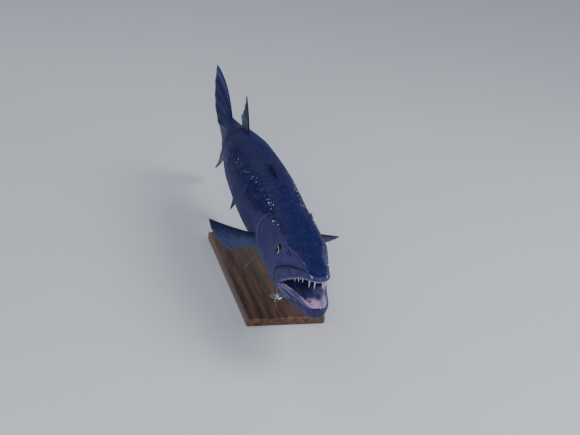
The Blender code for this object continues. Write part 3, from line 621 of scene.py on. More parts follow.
def head_colour(tree, spot, colour):
    """Lays the violet of the cheeks and lips over the body's colours, with blotches and fine mottle."""
    pale = attribute(tree, "pale")
    lip = attribute(tree, "lip")
    blotch = speckle(tree, spot, 0.016, 6.0, 0.72)
    mottle = speckle(tree, spot, 0.0050, 5.0, 0.70)
    cheek_mottle = ease(tree, mottle, 0.54, 0.70, 0.0, 0.40)
    pale_mottle = ease(tree, mottle, 0.52, 0.66, 0.0, 0.45)
    dark_mottle = ease(tree, mottle, 0.46, 0.34, 0.0, 0.60)
    colour = paint(tree, times(tree, pale, 0.85), colour, "cheek")
    colour = paint(tree, times(tree, lip, 0.80), colour, "lip")
    colour = paint(tree, ease(tree, blotch, 0.50, 0.66, 0.0, 0.42), colour, "violet blotch")
    colour = paint(tree, ease(tree, blotch, 0.48, 0.34, 0.0, 0.40), colour, "blue blotch")
    colour = paint(tree, times(tree, pale, cheek_mottle), colour, "cheek mottle")
    colour = paint(tree, times(tree, lip, pale_mottle), colour, "pale lip mottle")
    return paint(tree, times(tree, lip, dark_mottle), colour, "dark lip mottle")


def mouth_colour(tree, colour, fine):
    """Lays the gums and the lining of the mouth over the skin's colours, paler where moist and where light
    is painted on the palate.
    """
    moist_and_lit = attribute(tree, "moist_and_lit")
    inside = attribute(tree, "inside")
    mouth = blend(tree, moist_and_lit, tone("deep mouth"), tone("moist mouth"))
    mouth = paint(tree, ease(tree, fine, 0.45, 0.70, 0.0, 0.35), mouth, "mouth vein")
    gum = blend(tree, moist_and_lit, tone("deep gum"), tone("moist gum"))
    colour = blend(tree, ease(tree, inside, 0.05, 0.25), colour, gum)
    return blend(tree, ease(tree, inside, 0.40, 0.85), colour, mouth)


def skin_material():
    """Dark slate blue back, violet grey cheek and jaw, silver belly and a pink mouth, all one skin."""
    tree, shader, spot = begin("skin", 0.5, Specular_IOR_Level=0.09)
    along, _, up = add(tree, "ShaderNodeSeparateXYZ", {0: spot}).outputs
    cloud = speckle(tree, spot, 0.060, 4.0)
    fine = speckle(tree, spot, 0.0045, 3.0, 0.6)
    grain = speckle(tree, spot, 0.0011, 2.0, 0.6)
    streak = attribute(tree, "streak")
    glint = attribute(tree, "glint")
    height = times(tree, up, times(tree, cloud, 0.030), "ADD")
    colour = head_colour(tree, spot, body_colour(tree, spot, along, height))
    colour = paint(tree, ease(tree, fine, 0.45, 0.72, 0.0, 0.40), colour, "pale grain")
    colour = paint(tree, ease(tree, fine, 0.47, 0.28, 0.0, 0.50), colour, "dark grain")
    # Painted shade in the skin's grooves, round the lip's end and behind the gill cover
    colour = paint(tree, times(tree, attribute(tree, "shade"), 0.75), colour, "groove")
    colour = mouth_colour(tree, colour, fine)
    colour = paint(tree, times(tree, streak, 0.65), colour, "streak")
    colour = paint(tree, ease(tree, streak, 0.60, 0.80, 0.0, 0.55), colour, "bright streak")
    # Some scales are painted a little paler as a painted highlight, and made a little glossier
    colour = paint(tree, times(tree, glint, 0.08), colour, "glint")
    rough = times(tree, ease(tree, cloud, 0.3, 0.7, 0.42, 0.56), times(tree, glint, -0.06), "ADD")
    give(tree, shader, colour, rough, times(tree, fine, times(tree, grain, 0.35), "ADD"), 0.0006, 0.35)


def pore_and_glint_material():
    """Pale spots, for the pores of the head and for the beads of painted highlight at the gills, snout and
    flank.
    """
    tree, shader, spot = begin("pore", 0.2, Coat_Weight=0.5)
    give(tree, shader, blend(tree, speckle(tree, spot, 0.004), tone("dull pore and glint"), tone("bright pore and glint")))


def tooth_material():
    """Ivory white with fine streaks along the tooth."""
    tree, shader, spot = begin("tooth", 0.22, Coat_Weight=0.4, Subsurface_Weight=0.15)
    shader.inputs["Subsurface Radius"].default_value = (0.004, 0.003, 0.002)
    streaks = speckle(tree, spot, 0.002, 3.0, 0.5, (1.0, 1.0, 0.15))
    give(tree, shader, blend(tree, streaks, tone("tooth root"), tone("tooth")), None, streaks, 0.0002, 0.3)


def tongue_material():
    """Pale violet pink, darker towards its root, with one dark mark."""
    tree, shader, spot = begin("tongue", 0.34, Coat_Weight=0.4, Coat_Roughness=0.15)
    buds = speckle(tree, spot, 0.0012, 1.0)
    along = add(tree, "ShaderNodeSeparateXYZ", {0: spot}).outputs[0]
    to_root = ease(tree, along, *(SNOUT_X - back for back in TONGUE_DARK_BACKS))
    mark = add(tree, "ShaderNodeVectorMath", {0: spot, 1: place(*TONGUE_MARK)}, operation="DISTANCE")
    colour = blend(tree, speckle(tree, spot, 0.006), tone("tongue"), tone("pale tongue"))
    colour = paint(tree, to_root, colour, "tongue root")
    colour = paint(tree, ease(tree, mark.outputs["Value"], 0.0044, 0.0016), colour, "tongue mark")
    give(tree, shader, colour, None, buds, 0.0004, 0.4)


def fin_material(name, web, ray, edge, front, patchy):
    """A fin's colours: its web, its rays, its outer edge and its front, which may be patchy."""
    tree, shader, spot = begin(name, 0.42, Specular_IOR_Level=0.18)
    shade = speckle(tree, spot, 0.020, 4.0)
    fine = speckle(tree, spot, 0.0016, 2.0)
    mask = attribute(tree, "front")
    if patchy:
        mask = times(tree, mask, ease(tree, speckle(tree, spot, 0.0050, 4.0, 0.65), 0.32, 0.50))
    colour = blend(tree, attribute(tree, "ray"), tone(web), tone(ray))
    colour = paint(tree, ease(tree, shade, 0.45, 0.75, 0.0, 0.5), colour, "fin shade")
    colour = paint(tree, ease(tree, attribute(tree, "outer"), 0.90, 1.0, 0.0, 0.45), colour, edge)
    colour = paint(tree, mask, colour, front)
    give(tree, shader, colour, ease(tree, shade, 0.3, 0.7, 0.36, 0.50), fine, 0.0003, 0.35)


def eye_material(name, sign):
    """Black pupil in a silver ring, dark iris and rim, set out round the eye's own axis."""
    gloss = {"Specular_IOR_Level": 0.05, "Coat_Weight": 0.14, "Coat_Roughness": 0.03}
    tree, shader, spot = begin("eye_" + name, 0.35, **gloss)
    from_middle = add(tree, "ShaderNodeMapping", {0: spot, 1: -eye_middle(sign)}).outputs[0]
    flatten = (1 / EYE_OPENING, 0.0, 1 / EYE_OPENING)
    flat = add(tree, "ShaderNodeMapping", {0: from_middle, 3: flatten}).outputs[0]
    away = add(tree, "ShaderNodeVectorMath", {0: flat}, operation="LENGTH").outputs["Value"]
    streaks = speckle(tree, spot, 0.0016, 3.0)
    up = add(tree, "ShaderNodeSeparateXYZ", {0: flat}).outputs[2]
    iris = blend(tree, streaks, tone("iris"), tone("pale iris"))
    iris = paint(tree, ease(tree, up, 0.10, 0.60), iris, "iris top")
    silver = blend(tree, streaks, tone("dull silver"), tone("silver"))
    colour = blend(tree, ease(tree, away, 0.57, 0.61), tone("pupil"), silver)
    colour = blend(tree, ease(tree, away, 0.64, 0.82), colour, iris)
    colour = paint(tree, ease(tree, away, 0.86, 0.97), colour, "eye rim")
    give(tree, shader, colour)


def wood_material():
    """Dark oiled wood, its grain drifting along the board."""
    tree, shader, spot = begin("wood", 0.42, Coat_Weight=0.25, Coat_Roughness=0.3)
    drift = times(tree, speckle(tree, spot, 0.25, 3.0, 0.5, (0.35, 1.0, 1.0)), 0.04)
    bent = add(tree, "ShaderNodeVectorMath", {0: spot, 1: drift}, operation="ADD").outputs[0]
    grain = speckle(tree, bent, 0.010, 5.0, 0.6, (0.05, 1.0, 1.0))
    pores = speckle(tree, spot, 0.0016, 2.0, 0.5, (0.08, 1.0, 1.0))
    colour = blend(tree, ease(tree, grain, 0.35, 0.65), tone("dark wood"), tone("wood"))
    colour = paint(tree, ease(tree, pores, 0.60, 0.72, 0.0, 0.6), colour, "wood pore")
    give(tree, shader, colour, ease(tree, grain, 0.3, 0.7, 0.36, 0.50), pores, 0.0002, 0.4)


def steel_material():
    """Steel brushed along the rods."""
    tree, shader, spot = begin("steel", 0.28, Metallic=1.0)
    brushed = speckle(tree, spot, 0.0012, 2.0, 0.5, (1.0, 1.0, 0.06))
    colour = blend(tree, brushed, tone("steel"), tone("bright steel"))
    give(tree, shader, colour, ease(tree, brushed, 0.3, 0.7, 0.22, 0.36), brushed, 0.0001, 0.25)


def floor_material():
    tree, shader, spot = begin("floor", 0.8)
    give(tree, shader, blend(tree, speckle(tree, spot, 0.4), tone("floor"), tone("pale floor")))


def make_materials():
    skin_material()
    pore_and_glint_material()
    tooth_material()
    tongue_material()
    fin_material("fin", "web", "ray", "fin edge", "fin front", False)
    fin_material("pelvic", "pelvic web", "pelvic ray", "pelvic edge", "pelvic front", True)
    # The tail's pale front streak is a painted highlight
    fin_material("tail", "tail web", "tail ray", "tail edge", "tail front highlight", True)
    eye_material("left", 1)
    eye_material("right", -1)
    wood_material()
    steel_material()
    floor_material()


# The skin

def outline_angles(upper, back, tip=None):
    """Angles round the outside, from the left mouth line over the top or from the right one below."""
    rim = upper_rim if upper else lower_rim
    near = min(back, RIM_END_BACK)
    first = angle_at(near, rim(near), tip)
    if upper:
        edge = max(angle_at(near, lip_top(near), tip), first + LEAST_LIP_ANGLE)
        left = [mix(first, edge, i / LIP_CELLS) for i in range(LIP_CELLS)]
        middle = [mix(edge, math.pi - edge, i / TOP_CELLS) for i in range(TOP_CELLS)]
        return left + middle + [math.pi - angle for angle in reversed(left + [edge])]
    edge = min(angle_at(near, rim(near) - LOWER_LIP_DEPTH, tip), first - LEAST_LIP_ANGLE)
    right = [math.pi - mix(first, edge, i / LIP_CELLS) for i in range(LIP_CELLS)]
    middle = [mix(math.pi - edge, 2 * math.pi + edge, i / UNDER_CELLS) for i in range(UNDER_CELLS)]
    return right + middle + [3 * math.pi - angle for angle in reversed(right + [math.pi - edge])]


def round_angles(back):
    """Angles of a whole ring behind the mouth."""
    return outline_angles(True, back)[:-1] + outline_angles(False, back)


def lining_angles(upper, back, rim_height):
    """Angles round one half of the space inside the mouth, from the rim where its outline ends."""
    middle, rise, drop, _ = hollow_measures(back, upper)
    share = min(1.0, abs(rim_height - middle) / max(1e-6, rise if upper else drop))
    edge = math.atan2(share, (1 - share**HOLLOW_SQUARENESS) ** (1 / HOLLOW_SQUARENESS))
    if upper:
        return [mix(math.pi - edge, edge, i / PALATE_CELLS) for i in range(PALATE_CELLS + 1)]
    return [mix(-edge, edge - math.pi, i / FLOOR_CELLS) for i in range(FLOOR_CELLS + 1)]


def lining_point(back, angle):
    across, up = oval(angle, HOLLOW_SQUARENESS)
    middle, rise, drop, width = hollow_measures(back, up >= 0)
    return place(back, across * width, middle + up * (rise if up >= 0 else drop))


def jaw_ring(upper, back):
    """A ring round one jaw: outside, rim, lining of the mouth and the other rim."""
    tip = SNOUT_TIP if upper else CHIN_TIP
    outside = [section(back, angle, 0.0, tip) for angle in outline_angles(upper, back, tip)]
    rim_height = outside[0][1]
    lining = [lining_point(back, angle) for angle in lining_angles(upper, back, rim_height)]
    if back <= hollow_front(upper)[0]:
        lining = [place(back, 0.0, rim_height) for _ in lining]
    ring = [place(back, *point) for point in outside]
    start, end = ring[-1], lining[0]
    ring += [mix(start, end, i / RIM_CELLS) for i in range(1, RIM_CELLS)]
    ring += lining
    start, end = lining[-1], ring[0]
    return ring + [mix(start, end, i / RIM_CELLS) for i in range(1, RIM_CELLS + 1)]


def trunk_ring(back, flap=None):
    """A ring round the whole body, its line bent towards the gill cover's edge. flap is a row of FLAP."""
    line = GILL_LINE_BACK + flap[0] if flap else back
    depth = COAT_DEPTH * smooth(GILL_LINE_BACK, GILL_LINE_BACK + 0.02, line)
    ring = []
    for angle in round_angles(line):
        aside = fold(angle)
        bend = gill_edge(aside) - GILL_LINE_BACK
        if line < GILL_LINE_BACK:
            bend *= smooth(GILL_WARP[0], GILL_LINE_BACK, line)
        else:
            bend *= 1 - smooth(GILL_LINE_BACK, GILL_WARP[1], line)
        here = line + bend
        grow = -depth
        if flap:
            lift = gill_lift(aside)
            here = mix(line, GILL_LINE_BACK + flap[1], lift) + bend
            grow = mix(-depth, flap[2], lift)
        ring.append(place(here, *section(here, angle, grow)))
    return ring


def stem_ring(turn):
    """A ring of the body's end, where it narrows to the thickness of the tail fin's root."""
    back = TAIL_ROOT_BACK - STEM_END * (1 - math.sin(turn))
    ring = []
    for angle in round_angles(back):
        side, height = section(back, angle, -COAT_DEPTH)
        ring.append(place(back, side * math.cos(turn), height * mix(0.90, 1.0, math.cos(turn))))
    return ring


def lining_ring(back):
    """A ring round the space inside the mouth, behind its corners."""
    angles = lining_angles(True, back, upper_rim(back))[:-1] + lining_angles(False, back, lower_rim(back))
    return [lining_point(back, angle) for angle in angles]


def sheet(bm, rings, outside=None):
    """Lays a grid of faces through rings. outside is how many cells of a ring lie outside the mouth."""
    cells = len(rings[0]) - 1
    inside = bm.verts.layers.float["inside"]
    made = bmesh.ops.create_grid(bm, x_segments=len(rings) - 1, y_segments=cells, size=0.5)
    for vert in made["verts"]:
        row = round((vert.co.x + 0.5) * (len(rings) - 1))
        column = round((vert.co.y + 0.5) * cells)
        vert.co = rings[row][column]
        if outside is not None:
            vert[inside] = min(1.0, max(0.0, column - outside) / RIM_CELLS, (cells - column) / RIM_CELLS)
    return made["verts"]


def lining_relief(back, aside, inside):
    """How far the lining of the mouth stands out: its gums, and its folds towards the throat."""
    gums = (1 - smooth(0.124, 0.138, back)) * ridge(inside - 0.55, 0.20)
    waves = 1 + 0.3 * math.cos(2 * math.pi * back / GUM_WAVE)
    folds = smooth(0.030, 0.050, back) * (1 - smooth(0.20, 0.24, back)) * smooth(0.95, 1.0, inside)
    return GUM_PROUD * gums * waves + FOLD_PROUD * folds * math.cos(2 * math.pi * aside / FOLD_WAVE)


def upper_relief(back, aside, height):
    """How far the upper jaw and the crown stand out: lip, canals, brow, socket and nostrils."""
    above = height - lip_top(back)
    lip = 1 - smooth(LIP_END_BACK - 0.009, LIP_END_BACK, back)
    out = lip * LIP_PROUD * (1 - smooth(-0.0022, 0.0002, above))
    end = near_line(LIP_END, back, height, LIP_GROOVE_HALF)
    out -= LIP_GROOVE_DEPTH * max(lip * ridge(above - 0.0020, LIP_GROOVE_HALF), end)
    out += lip * 0.0010 * ridge(above - 0.0062, 0.0026)
    for line, proud, width in HEAD_RELIEF:
        out += proud * near_line(line, back, height, width)
    out += 0.0004 * near_line(CROWN, back, aside, 0.0035)
    out -= 0.0005 * ridge(aside, 0.0045) * smooth(0.07, 0.10, back) * (1 - smooth(0.19, 0.23, back))
    if aside > EYE_RADIUS:
        from_eye = math.hypot(back - EYE_BACK, height - EYE_HEIGHT)
        out -= SOCKET_DEPTH * (1 - smooth(EYE_OPENING - SOCKET_SLOPE, EYE_OPENING, from_eye))
        out += LID_PROUD * ridge(from_eye - EYE_OPENING - 0.0016, 0.0017)
    for nostril_back, nostril_height, radius in NOSTRILS:
        away = math.hypot(back - nostril_back, height - nostril_height)
        out += 0.0005 * ridge(away - 1.6 * radius, 0.0010) - NOSTRIL_DEPTH * ridge(away, 0.8 * radius)
    return out


def lower_relief(back, aside, height):
    """How far the lower jaw and the throat stand out: lip, grooves and the line of the throat."""
    below = lower_rim(back) - height
    lip = 1 - smooth(LOWER_LIP_END_BACK - 0.012, LOWER_LIP_END_BACK, back)
    out = lip * LOWER_LIP_PROUD * (1 - smooth(0.0055, 0.0080, below))
    out -= lip * 0.0009 * ridge(below - 0.0092, 0.0014)
    out -= LIP_GROOVE_DEPTH * near_line(LIP_END, back, height, LIP_GROOVE_HALF)
    for groove in JAW_GROOVES:
        away = line_distance(groove, back, height)
        out += 0.0005 * ridge(away - 0.0026, 0.0016) - 0.0011 * ridge(away, 0.0015)
    return out - 0.0012 * near_line(GULAR, back, aside, 0.0022) * smooth(0.045, 0.06, -height)


def relief(back, side, height, inside):
    """How far the skin stands out from the plain body."""
    if inside > 0:
        return lining_relief(back, abs(side), inside)
    part = upper_relief if in_upper(back, height) else lower_relief
    away = line_distance(PREOPERCLE, back, height)
    bulge_back, bulge_height, length, tall, proud = CHEEK_BULGE
    bulge = ridge(math.hypot((back - bulge_back) / length, (height - bulge_height) / tall), 1.0)
    plate = 0.0007 * ridge(away - 0.0034, 0.0022) - 0.0010 * ridge(away, 0.0018)
    return part(back, abs(side), height) + plate + proud * bulge


def paleness(back, height):
    """How far the cheek's paler tone shows, below the line of pores that runs back over the eye."""
    fade = (1 - 0.35 * smooth(0.150, 0.210, back)) * (1 - 0.80 * smooth(0.30, 0.44, back))
    return fade * smooth(0.004, -0.006, height - pale_line(back))


def streaks_tone(back, side, height, inside):
    """How far a fine pale line shows: lip and gill cover edges, jaw streaks and the mouth's corners."""
    upper = in_upper(back, height)
    below = lower_rim(back) - height
    if inside > 0:
        if upper:
            return 0.0
        corner = ridge(inside - 0.55, 0.40) * smooth(0.078, 0.092, back) * (1 - smooth(0.122, 0.130, back))
        return max(corner, 0.6 * ridge(below - 0.0050, 0.0014) * (1 - smooth(0.080, 0.100, back)))
    to_corner = 1 - smooth(0.120, 0.140, back)
    if upper:
        edge = 0.8 * ridge(height - upper_rim(back) - 0.0008, 0.0011) * to_corner
    else:
        edge = 0.8 * max(near_line(streak, back, height, 0.0020) for streak in JAW_STREAKS)
        edge = max(edge, 0.6 * ridge(below - 0.0016, 0.0016) * to_corner) * smooth(0.005, 0.045, back)
        lip = smooth(0.050, 0.085, back) * (1 - smooth(0.132, 0.142, back))
        edge = max(edge, 0.60 * lip * (1 - smooth(0.0045, 0.0085, below)))
    # The pale line along the gill cover's lifted edge is a painted highlight
    aside = body_angle(back, side, height)
    return max(edge, 0.55 * gill_lift(aside) * ridge(back - gill_edge(aside) + 0.0016, 0.0014))


def shade_tone(back, side, height, out, inside):
    """How far painted shade darkens the skin: in its grooves, round the lip's end and in the slit behind
    the gill cover.
    """
    if inside > 0:
        return 0.0
    aside = body_angle(back, side, height)
    behind = back - gill_edge(aside)
    slit = gill_lift(aside) * smooth(-0.0004, 0.0008, behind) * (1 - smooth(0.005, 0.011, behind))
    groove = smooth(0.0002, 0.0015, -out)
    lip_end = 0.65 * near_line(LIP_END, back, height, 0.0045)
    if in_upper(back, height):
        groove *= mix(0.35, 1.0, smooth(0.040, 0.095, back))
        rear = smooth(0.085, 0.115, back) * (1 - smooth(0.146, 0.154, back))
        lip_end = max(lip_end, 0.65 * rear * ridge(height - lip_top(back) - 0.0025, 0.0045))
    else:
        # Darker towards the front of the lower jaw as well
        groove = max(groove, 0.40 * (1 - smooth(0.000, 0.030, back)))
    return max(slit, groove, lip_end)


def mouth_tone(back, height):
    """How pale the lining of the mouth is: at the front of its floor, along its gums and on the palate."""
    if in_upper(back, height):
        # The palate's paleness, above all towards its rear, is painted light in the mouth's shade
        return 0.30 - 0.15 * smooth(0.026, 0.050, back) + 0.15 * smooth(0.080, 0.130, back)
    above = height - lower_rim(back)
    gum = 0.35 * smooth(-0.0090, -0.0020, above) * (1 - smooth(0.080, 0.120, back))
    corner = 0.65 * ridge(back - 0.108, 0.020) * smooth(-0.0100, -0.0050, above)
    return max(gum, corner, 1 - smooth(0.044, 0.064, back))


def lip_tone(back, height):
    """How far the lips' and lower jaw's lightest tone shows."""
    if in_upper(back, height):
        edge = 1 - smooth(-0.002, 0.0005, height - lip_top(back))
        return edge * (1 - smooth(LIP_END_BACK - 0.008, LIP_END_BACK, back))
    return (1 - 0.8 * smooth(0.13, 0.21, back)) * (1 - smooth(0.30, 0.36, back))


def jaw_backs(upper):
    """Where a jaw's rings lie: closer together round its tip and where the space inside it starts."""
    tip_back = (SNOUT_TIP if upper else CHIN_TIP)[0]
    turns = [math.pi / 2 * i / TIP_TURNS for i in range(TIP_TURNS)]
    backs = [tip_back + TIP_RADIUS * (1 - math.cos(turn)) for turn in turns]
    backs += even(tip_back + TIP_RADIUS, CORNER_BACK, HEAD_STEP)
    backs += [hollow_front(upper)[0] + step for step in (0.0001, 0.0005, 0.0012)]
    return sorted(backs)


def skin_shell():
    """The plain closed shell: both jaws, the mouth's lining, the gill covers and the body to the tail."""
    bm = bmesh.new()
    inside = bm.verts.layers.float.new("inside")
    for upper, cells in ((True, TOP_CELLS), (False, UNDER_CELLS)):
        sheet(bm, [jaw_ring(upper, back) for back in jaw_backs(upper)], 2 * LIP_CELLS + cells)
    end_back, end_length = HOLLOW_END
    lining = even(CORNER_BACK, end_back - end_length, NECK_STEP)[:-1]
    turns = [math.pi / 2 * i / TIP_TURNS for i in range(TIP_TURNS + 1)]
    lining += [end_back - end_length * (1 - math.sin(turn)) for turn in turns]
    for vert in sheet(bm, [lining_ring(back) for back in lining]):
        vert[inside] = 1.0
    ahead = GILL_LINE_BACK + FLAP[0][0] - 0.002
    behind = GILL_LINE_BACK + FLAP[-1][0] + 0.003
    trunk = [trunk_ring(back) for back in even(CORNER_BACK, ahead, HEAD_STEP)]
    trunk += [trunk_ring(GILL_LINE_BACK, flap) for flap in FLAP]
    trunk += [trunk_ring(back) for back in even(behind, NECK_END_BACK, NECK_STEP)[:-1]]
    trunk += [trunk_ring(back) for back in even(NECK_END_BACK, TAIL_ROOT_BACK - STEM_END, TRUNK_STEP)]
    trunk += [stem_ring(math.radians(turn)) for turn in STEM_TURNS]
    sheet(bm, trunk)
    bmesh.ops.remove_doubles(bm, verts=bm.verts, dist=1e-5)
    bmesh.ops.holes_fill(bm, edges=[edge for edge in bm.edges if edge.is_boundary], sides=0)
    bmesh.ops.recalc_face_normals(bm, faces=bm.faces)
    return bm, inside


def make_skin():
    """One skin from jaws to tail, with its lips, grooves and lids, and its markings, painted shade and
    painted light as attributes.
    """
    bm, inside = skin_shell()
    rims = []
    for vert in bm.verts:
        if len({edge.other_vert(vert)[inside] for edge in vert.link_edges}) > 1:
            rims.append(vert)
    for _ in range(3):
        bmesh.ops.smooth_vert(bm, verts=rims, factor=0.5, use_axis_x=True, use_axis_y=True, use_axis_z=True)
    bm.normal_update()
    tones = [bm.verts.layers.float.new(name) for name in ("pale", "lip", "streak", "shade", "moist_and_lit")]
    moves = []
    for vert in bm.verts:
        back, side, height = measures(vert.co)
        front = hollow_front(in_upper(back, height))[0]
        vert[inside] *= smooth(front, front + 0.0025, back)
        within = vert[inside]
        out = relief(back, side, height, within) if back < RELIEF_END_BACK else 0.0
        # These layers hold painted shade in the grooves and behind the gill cover, painted light on the
        # palate and a painted highlight on the gill cover's edge
        values = (
            paleness(back, height),
            lip_tone(back, height),
            streaks_tone(back, side, height, within),
            shade_tone(back, side, height, out, within),
            mouth_tone(back, height),
        )
        for layer, value in zip(tones, values):
            vert[layer] = value
        moves.append((vert, vert.normal * out))
    for vert, move in moves:
        vert.co += move
    skin = finished("skin", bm, "skin")
    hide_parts(*FLESH)
    return skin


# Shared ways of making pieces

def mesh_of(name, bm):
    mesh = bpy.data.meshes.new(name)
    bm.to_mesh(mesh)
    bm.free()
    return mesh


def linked(name, data):
    """A new object of the scene."""
    made = bpy.data.objects.new(name, data)
    bpy.context.scene.collection.objects.link(made)
    return made


def finished(name, bm, material, sharp=None):
    """Makes the piece's object, with its place in its mesh, and lets it ride on the body."""
    mesh = mesh_of(name, bm)
    mesh.shade_smooth()
    if sharp is not None:
        mesh.set_sharp_from_angle(angle=math.radians(sharp))
    mesh.materials.append(MATERIALS[material])
    piece = linked(name, mesh)
    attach(piece, "root")
    return piece


def stamp(bm, pattern, matrix, layers=()):
    """Adds a copy of a small mesh, moved by a matrix. layers pairs a vertex layer with its value."""
    verts = [bm.verts.new(matrix @ vert.co) for vert in pattern.vertices]
    for vert in verts:
        for layer, value in layers:
            vert[layer] = value
    return [bm.faces.new([verts[i] for i in face.vertices]) for face in pattern.polygons]


def frame_of(origin, along, out, sizes):
    """The matrix that lays a pattern at a point: x along, z out of the surface."""
    out = out.normalized()
    along = (along - out * along.dot(out)).normalized()
    across = out.cross(along)
    turn = Matrix((along, across, out)).transposed().to_4x4()
    return Matrix.Translation(origin) @ turn @ Matrix.Diagonal((*sizes, 1.0))


def pattern_mesh(name, bm):
    """A small mesh to be stamped many times."""
    bmesh.ops.recalc_face_normals(bm, faces=bm.faces)
    return mesh_of(name, bm)


# Scales

def scale_pattern():
    """One scale of size 1: x points to the tail, its root is sunk and its rear edge stands up."""
    bm = bmesh.new()
    bmesh.ops.create_circle(bm, cap_ends=True, segments=10, radius=0.5)
    made = bmesh.ops.inset_region(bm, faces=bm.faces[:], thickness=0.16, depth=0.0)
    rim = {vert for face in made["faces"] for vert in face.verts if vert.co.length > 0.45}
    for vert in bm.verts:
        if vert not in rim:
            vert.co.z += 0.30
    bmesh.ops.extrude_edge_only(bm, edges=[edge for edge in bm.edges if edge.is_boundary])
    for vert in bm.verts:
        if vert.is_boundary:
            vert.co = Vector((vert.co.x * 0.9, vert.co.y * 0.9, vert.co.z - 1.0))
    bmesh.ops.holes_fill(bm, edges=[edge for edge in bm.edges if edge.is_boundary], sides=0)
    for vert in bm.verts:
        vert.co.z += 1.7 * vert.co.x + 0.15
    return pattern_mesh("scale", bm)


def lay_scales(name, spots, nearest, pattern):
    """Lays scales on the skin as one piece. A spot is back, angle, length, width, thickness and glint."""
    draw = random.Random(len(spots))
    bm = bmesh.new()
    pale = bm.verts.layers.float.new("pale")
    bright = bm.verts.layers.float.new("glint")
    bake = bm.loops.layers.uv.new("OFBake")
    for back, angle, length, width, thickness, glint in spots:
        guess = place(back, *section(back, angle))
        origin, out, _, _ = nearest.find_nearest(guess)
        tilt = Vector([draw.gauss(0.0, SCALE_TILT) for _ in range(3)])
        along = place(back + 0.004, *section(back + 0.004, angle)) - guess
        grown = draw.uniform(0.94, 1.06)
        matrix = frame_of(origin, along, out + tilt, (length * grown, width * grown, thickness))
        height = measures(origin)[2]
        layers = ((pale, paleness(back, height)), (bright, glint))
        round_share = abs(fold(angle) + math.pi / 2) / math.pi
        u = mix(0.01, 0.99, back)
        v = mix(0.01, 0.99, round_share)
        length_way = matrix.col[0].xyz.normalized() / length
        width_way = matrix.col[1].xyz.normalized() / width
        for face in stamp(bm, pattern, matrix, layers):
            for loop in face.loops:
                near = loop.vert.co - origin
                loop[bake].uv = (
                    u + BAKE_PATCH * near.dot(length_way),
                    v + BAKE_PATCH * near.dot(width_way),
                )
    finished(name, bm, "skin", 35)


def body_spots(sign):
    """Where the body's scales root on one side: columns from back to belly, each second one set off."""
    draw = random.Random(20 + sign)
    spots = []
    back = FIRST_SCALE_BACK
    column = 0
    while back < TAIL_ROOT_BACK - LAST_SCALE_GAP:
        pitch = scale_pitch(back)
        for row in range(SCALE_ROWS + 1):
            share = (row + 0.5 * (column % 2)) / SCALE_ROWS
            on_middle = share in (0.0, 1.0)
            if share > 1 or (on_middle and sign < 0):
                continue
            aside = math.pi / 2 - math.pi * share
            edge = gill_edge(aside)
            first = mix(COAT_START_BACK, edge + GILL_SCALE_GAP, gill_lift(aside))
            last = TAIL_ROOT_BACK - LAST_SCALE_GAP - STEM_END * (1 - math.sin(math.pi * share))
            if back > last or back < first:
                continue
            girth = half_width(back) + (top_height(back) - bottom_height(back)) / 2
            width = SCALE_WIDTH * girth * math.pi / 2 / SCALE_ROWS
            off_line = abs(share - lateral_line(back)) * SCALE_ROWS
            thickness = LINE_SCALE_THICKNESS if off_line < 0.5 else SCALE_THICKNESS
            # Glinting scales near the lateral line are painted paler: a painted highlight
            chance = 0.30 * ridge(off_line, 1.6) + 0.04
            glint = draw.uniform(0.4, 1.0) if draw.random() < chance else 0.0
            spots.append((back, on_side(aside, sign), SCALE_LENGTH * pitch, width, thickness, glint))
        back += pitch
        column += 1
    return spots


def cheek_spots(sign):
    """Where the small scales of the cheek and gill cover root on one side."""
    spots = []
    draw = random.Random(sign)
    for column, start in enumerate(even(*CHEEK_BACKS, CHEEK_PITCH)):
        for row in range(CHEEK_ROWS):
            share = (row + 0.5 * (column % 2)) / CHEEK_ROWS
            height = mix(*CHEEK_HEIGHTS, share) + draw.uniform(-0.0003, 0.0003)
            back = start + draw.uniform(-0.0005, 0.0005)
            aside = angle_at(back, height)
            from_eye = math.hypot(back - EYE_BACK, height - EYE_HEIGHT)
            on_groove = line_distance(PREOPERCLE, back, height) < 0.0065
            if from_eye < 0.030 or on_groove or back > gill_edge(aside) - 0.008 or aside > 0.80:
                continue
            spots.append((back, on_side(aside, sign), *CHEEK_SCALE, 0.0))
    return spots


def make_coat(skin):
    """Lays all scales on the skin, and gives back the skin's surface for the pores and the beads of painted
    highlight.
    """
    graph = bpy.context.evaluated_depsgraph_get()
    nearest = BVHTree.FromObject(skin, graph)
    pattern = scale_pattern()
    for name, sign in (("left", 1), ("right", -1)):
        spots = body_spots(sign)
        front = [spot for spot in spots if spot[0] < COAT_PARTING_BACK]
        rear = [spot for spot in spots if spot[0] >= COAT_PARTING_BACK]
        lay_scales("scales_front_" + name, front, nearest, pattern)
        lay_scales("scales_rear_" + name, rear, nearest, pattern)
        lay_scales("scales_cheek_" + name, cheek_spots(sign), nearest, pattern)
    bpy.data.meshes.remove(pattern)
    return nearest


def lay_beads(name, spots, nearest, bead, height):
    """Lays flat beads on the skin as one piece. A spot is back, angle and size."""
    bm = bmesh.new()
    for back, angle, size in spots:
        origin, out, _, _ = nearest.find_nearest(place(back, *section(back, angle)))
        stamp(bm, bead, frame_of(origin, Vector((-1, 0, 0)), out, (1.5 * size, size, height)))
    finished(name, bm, "pore")


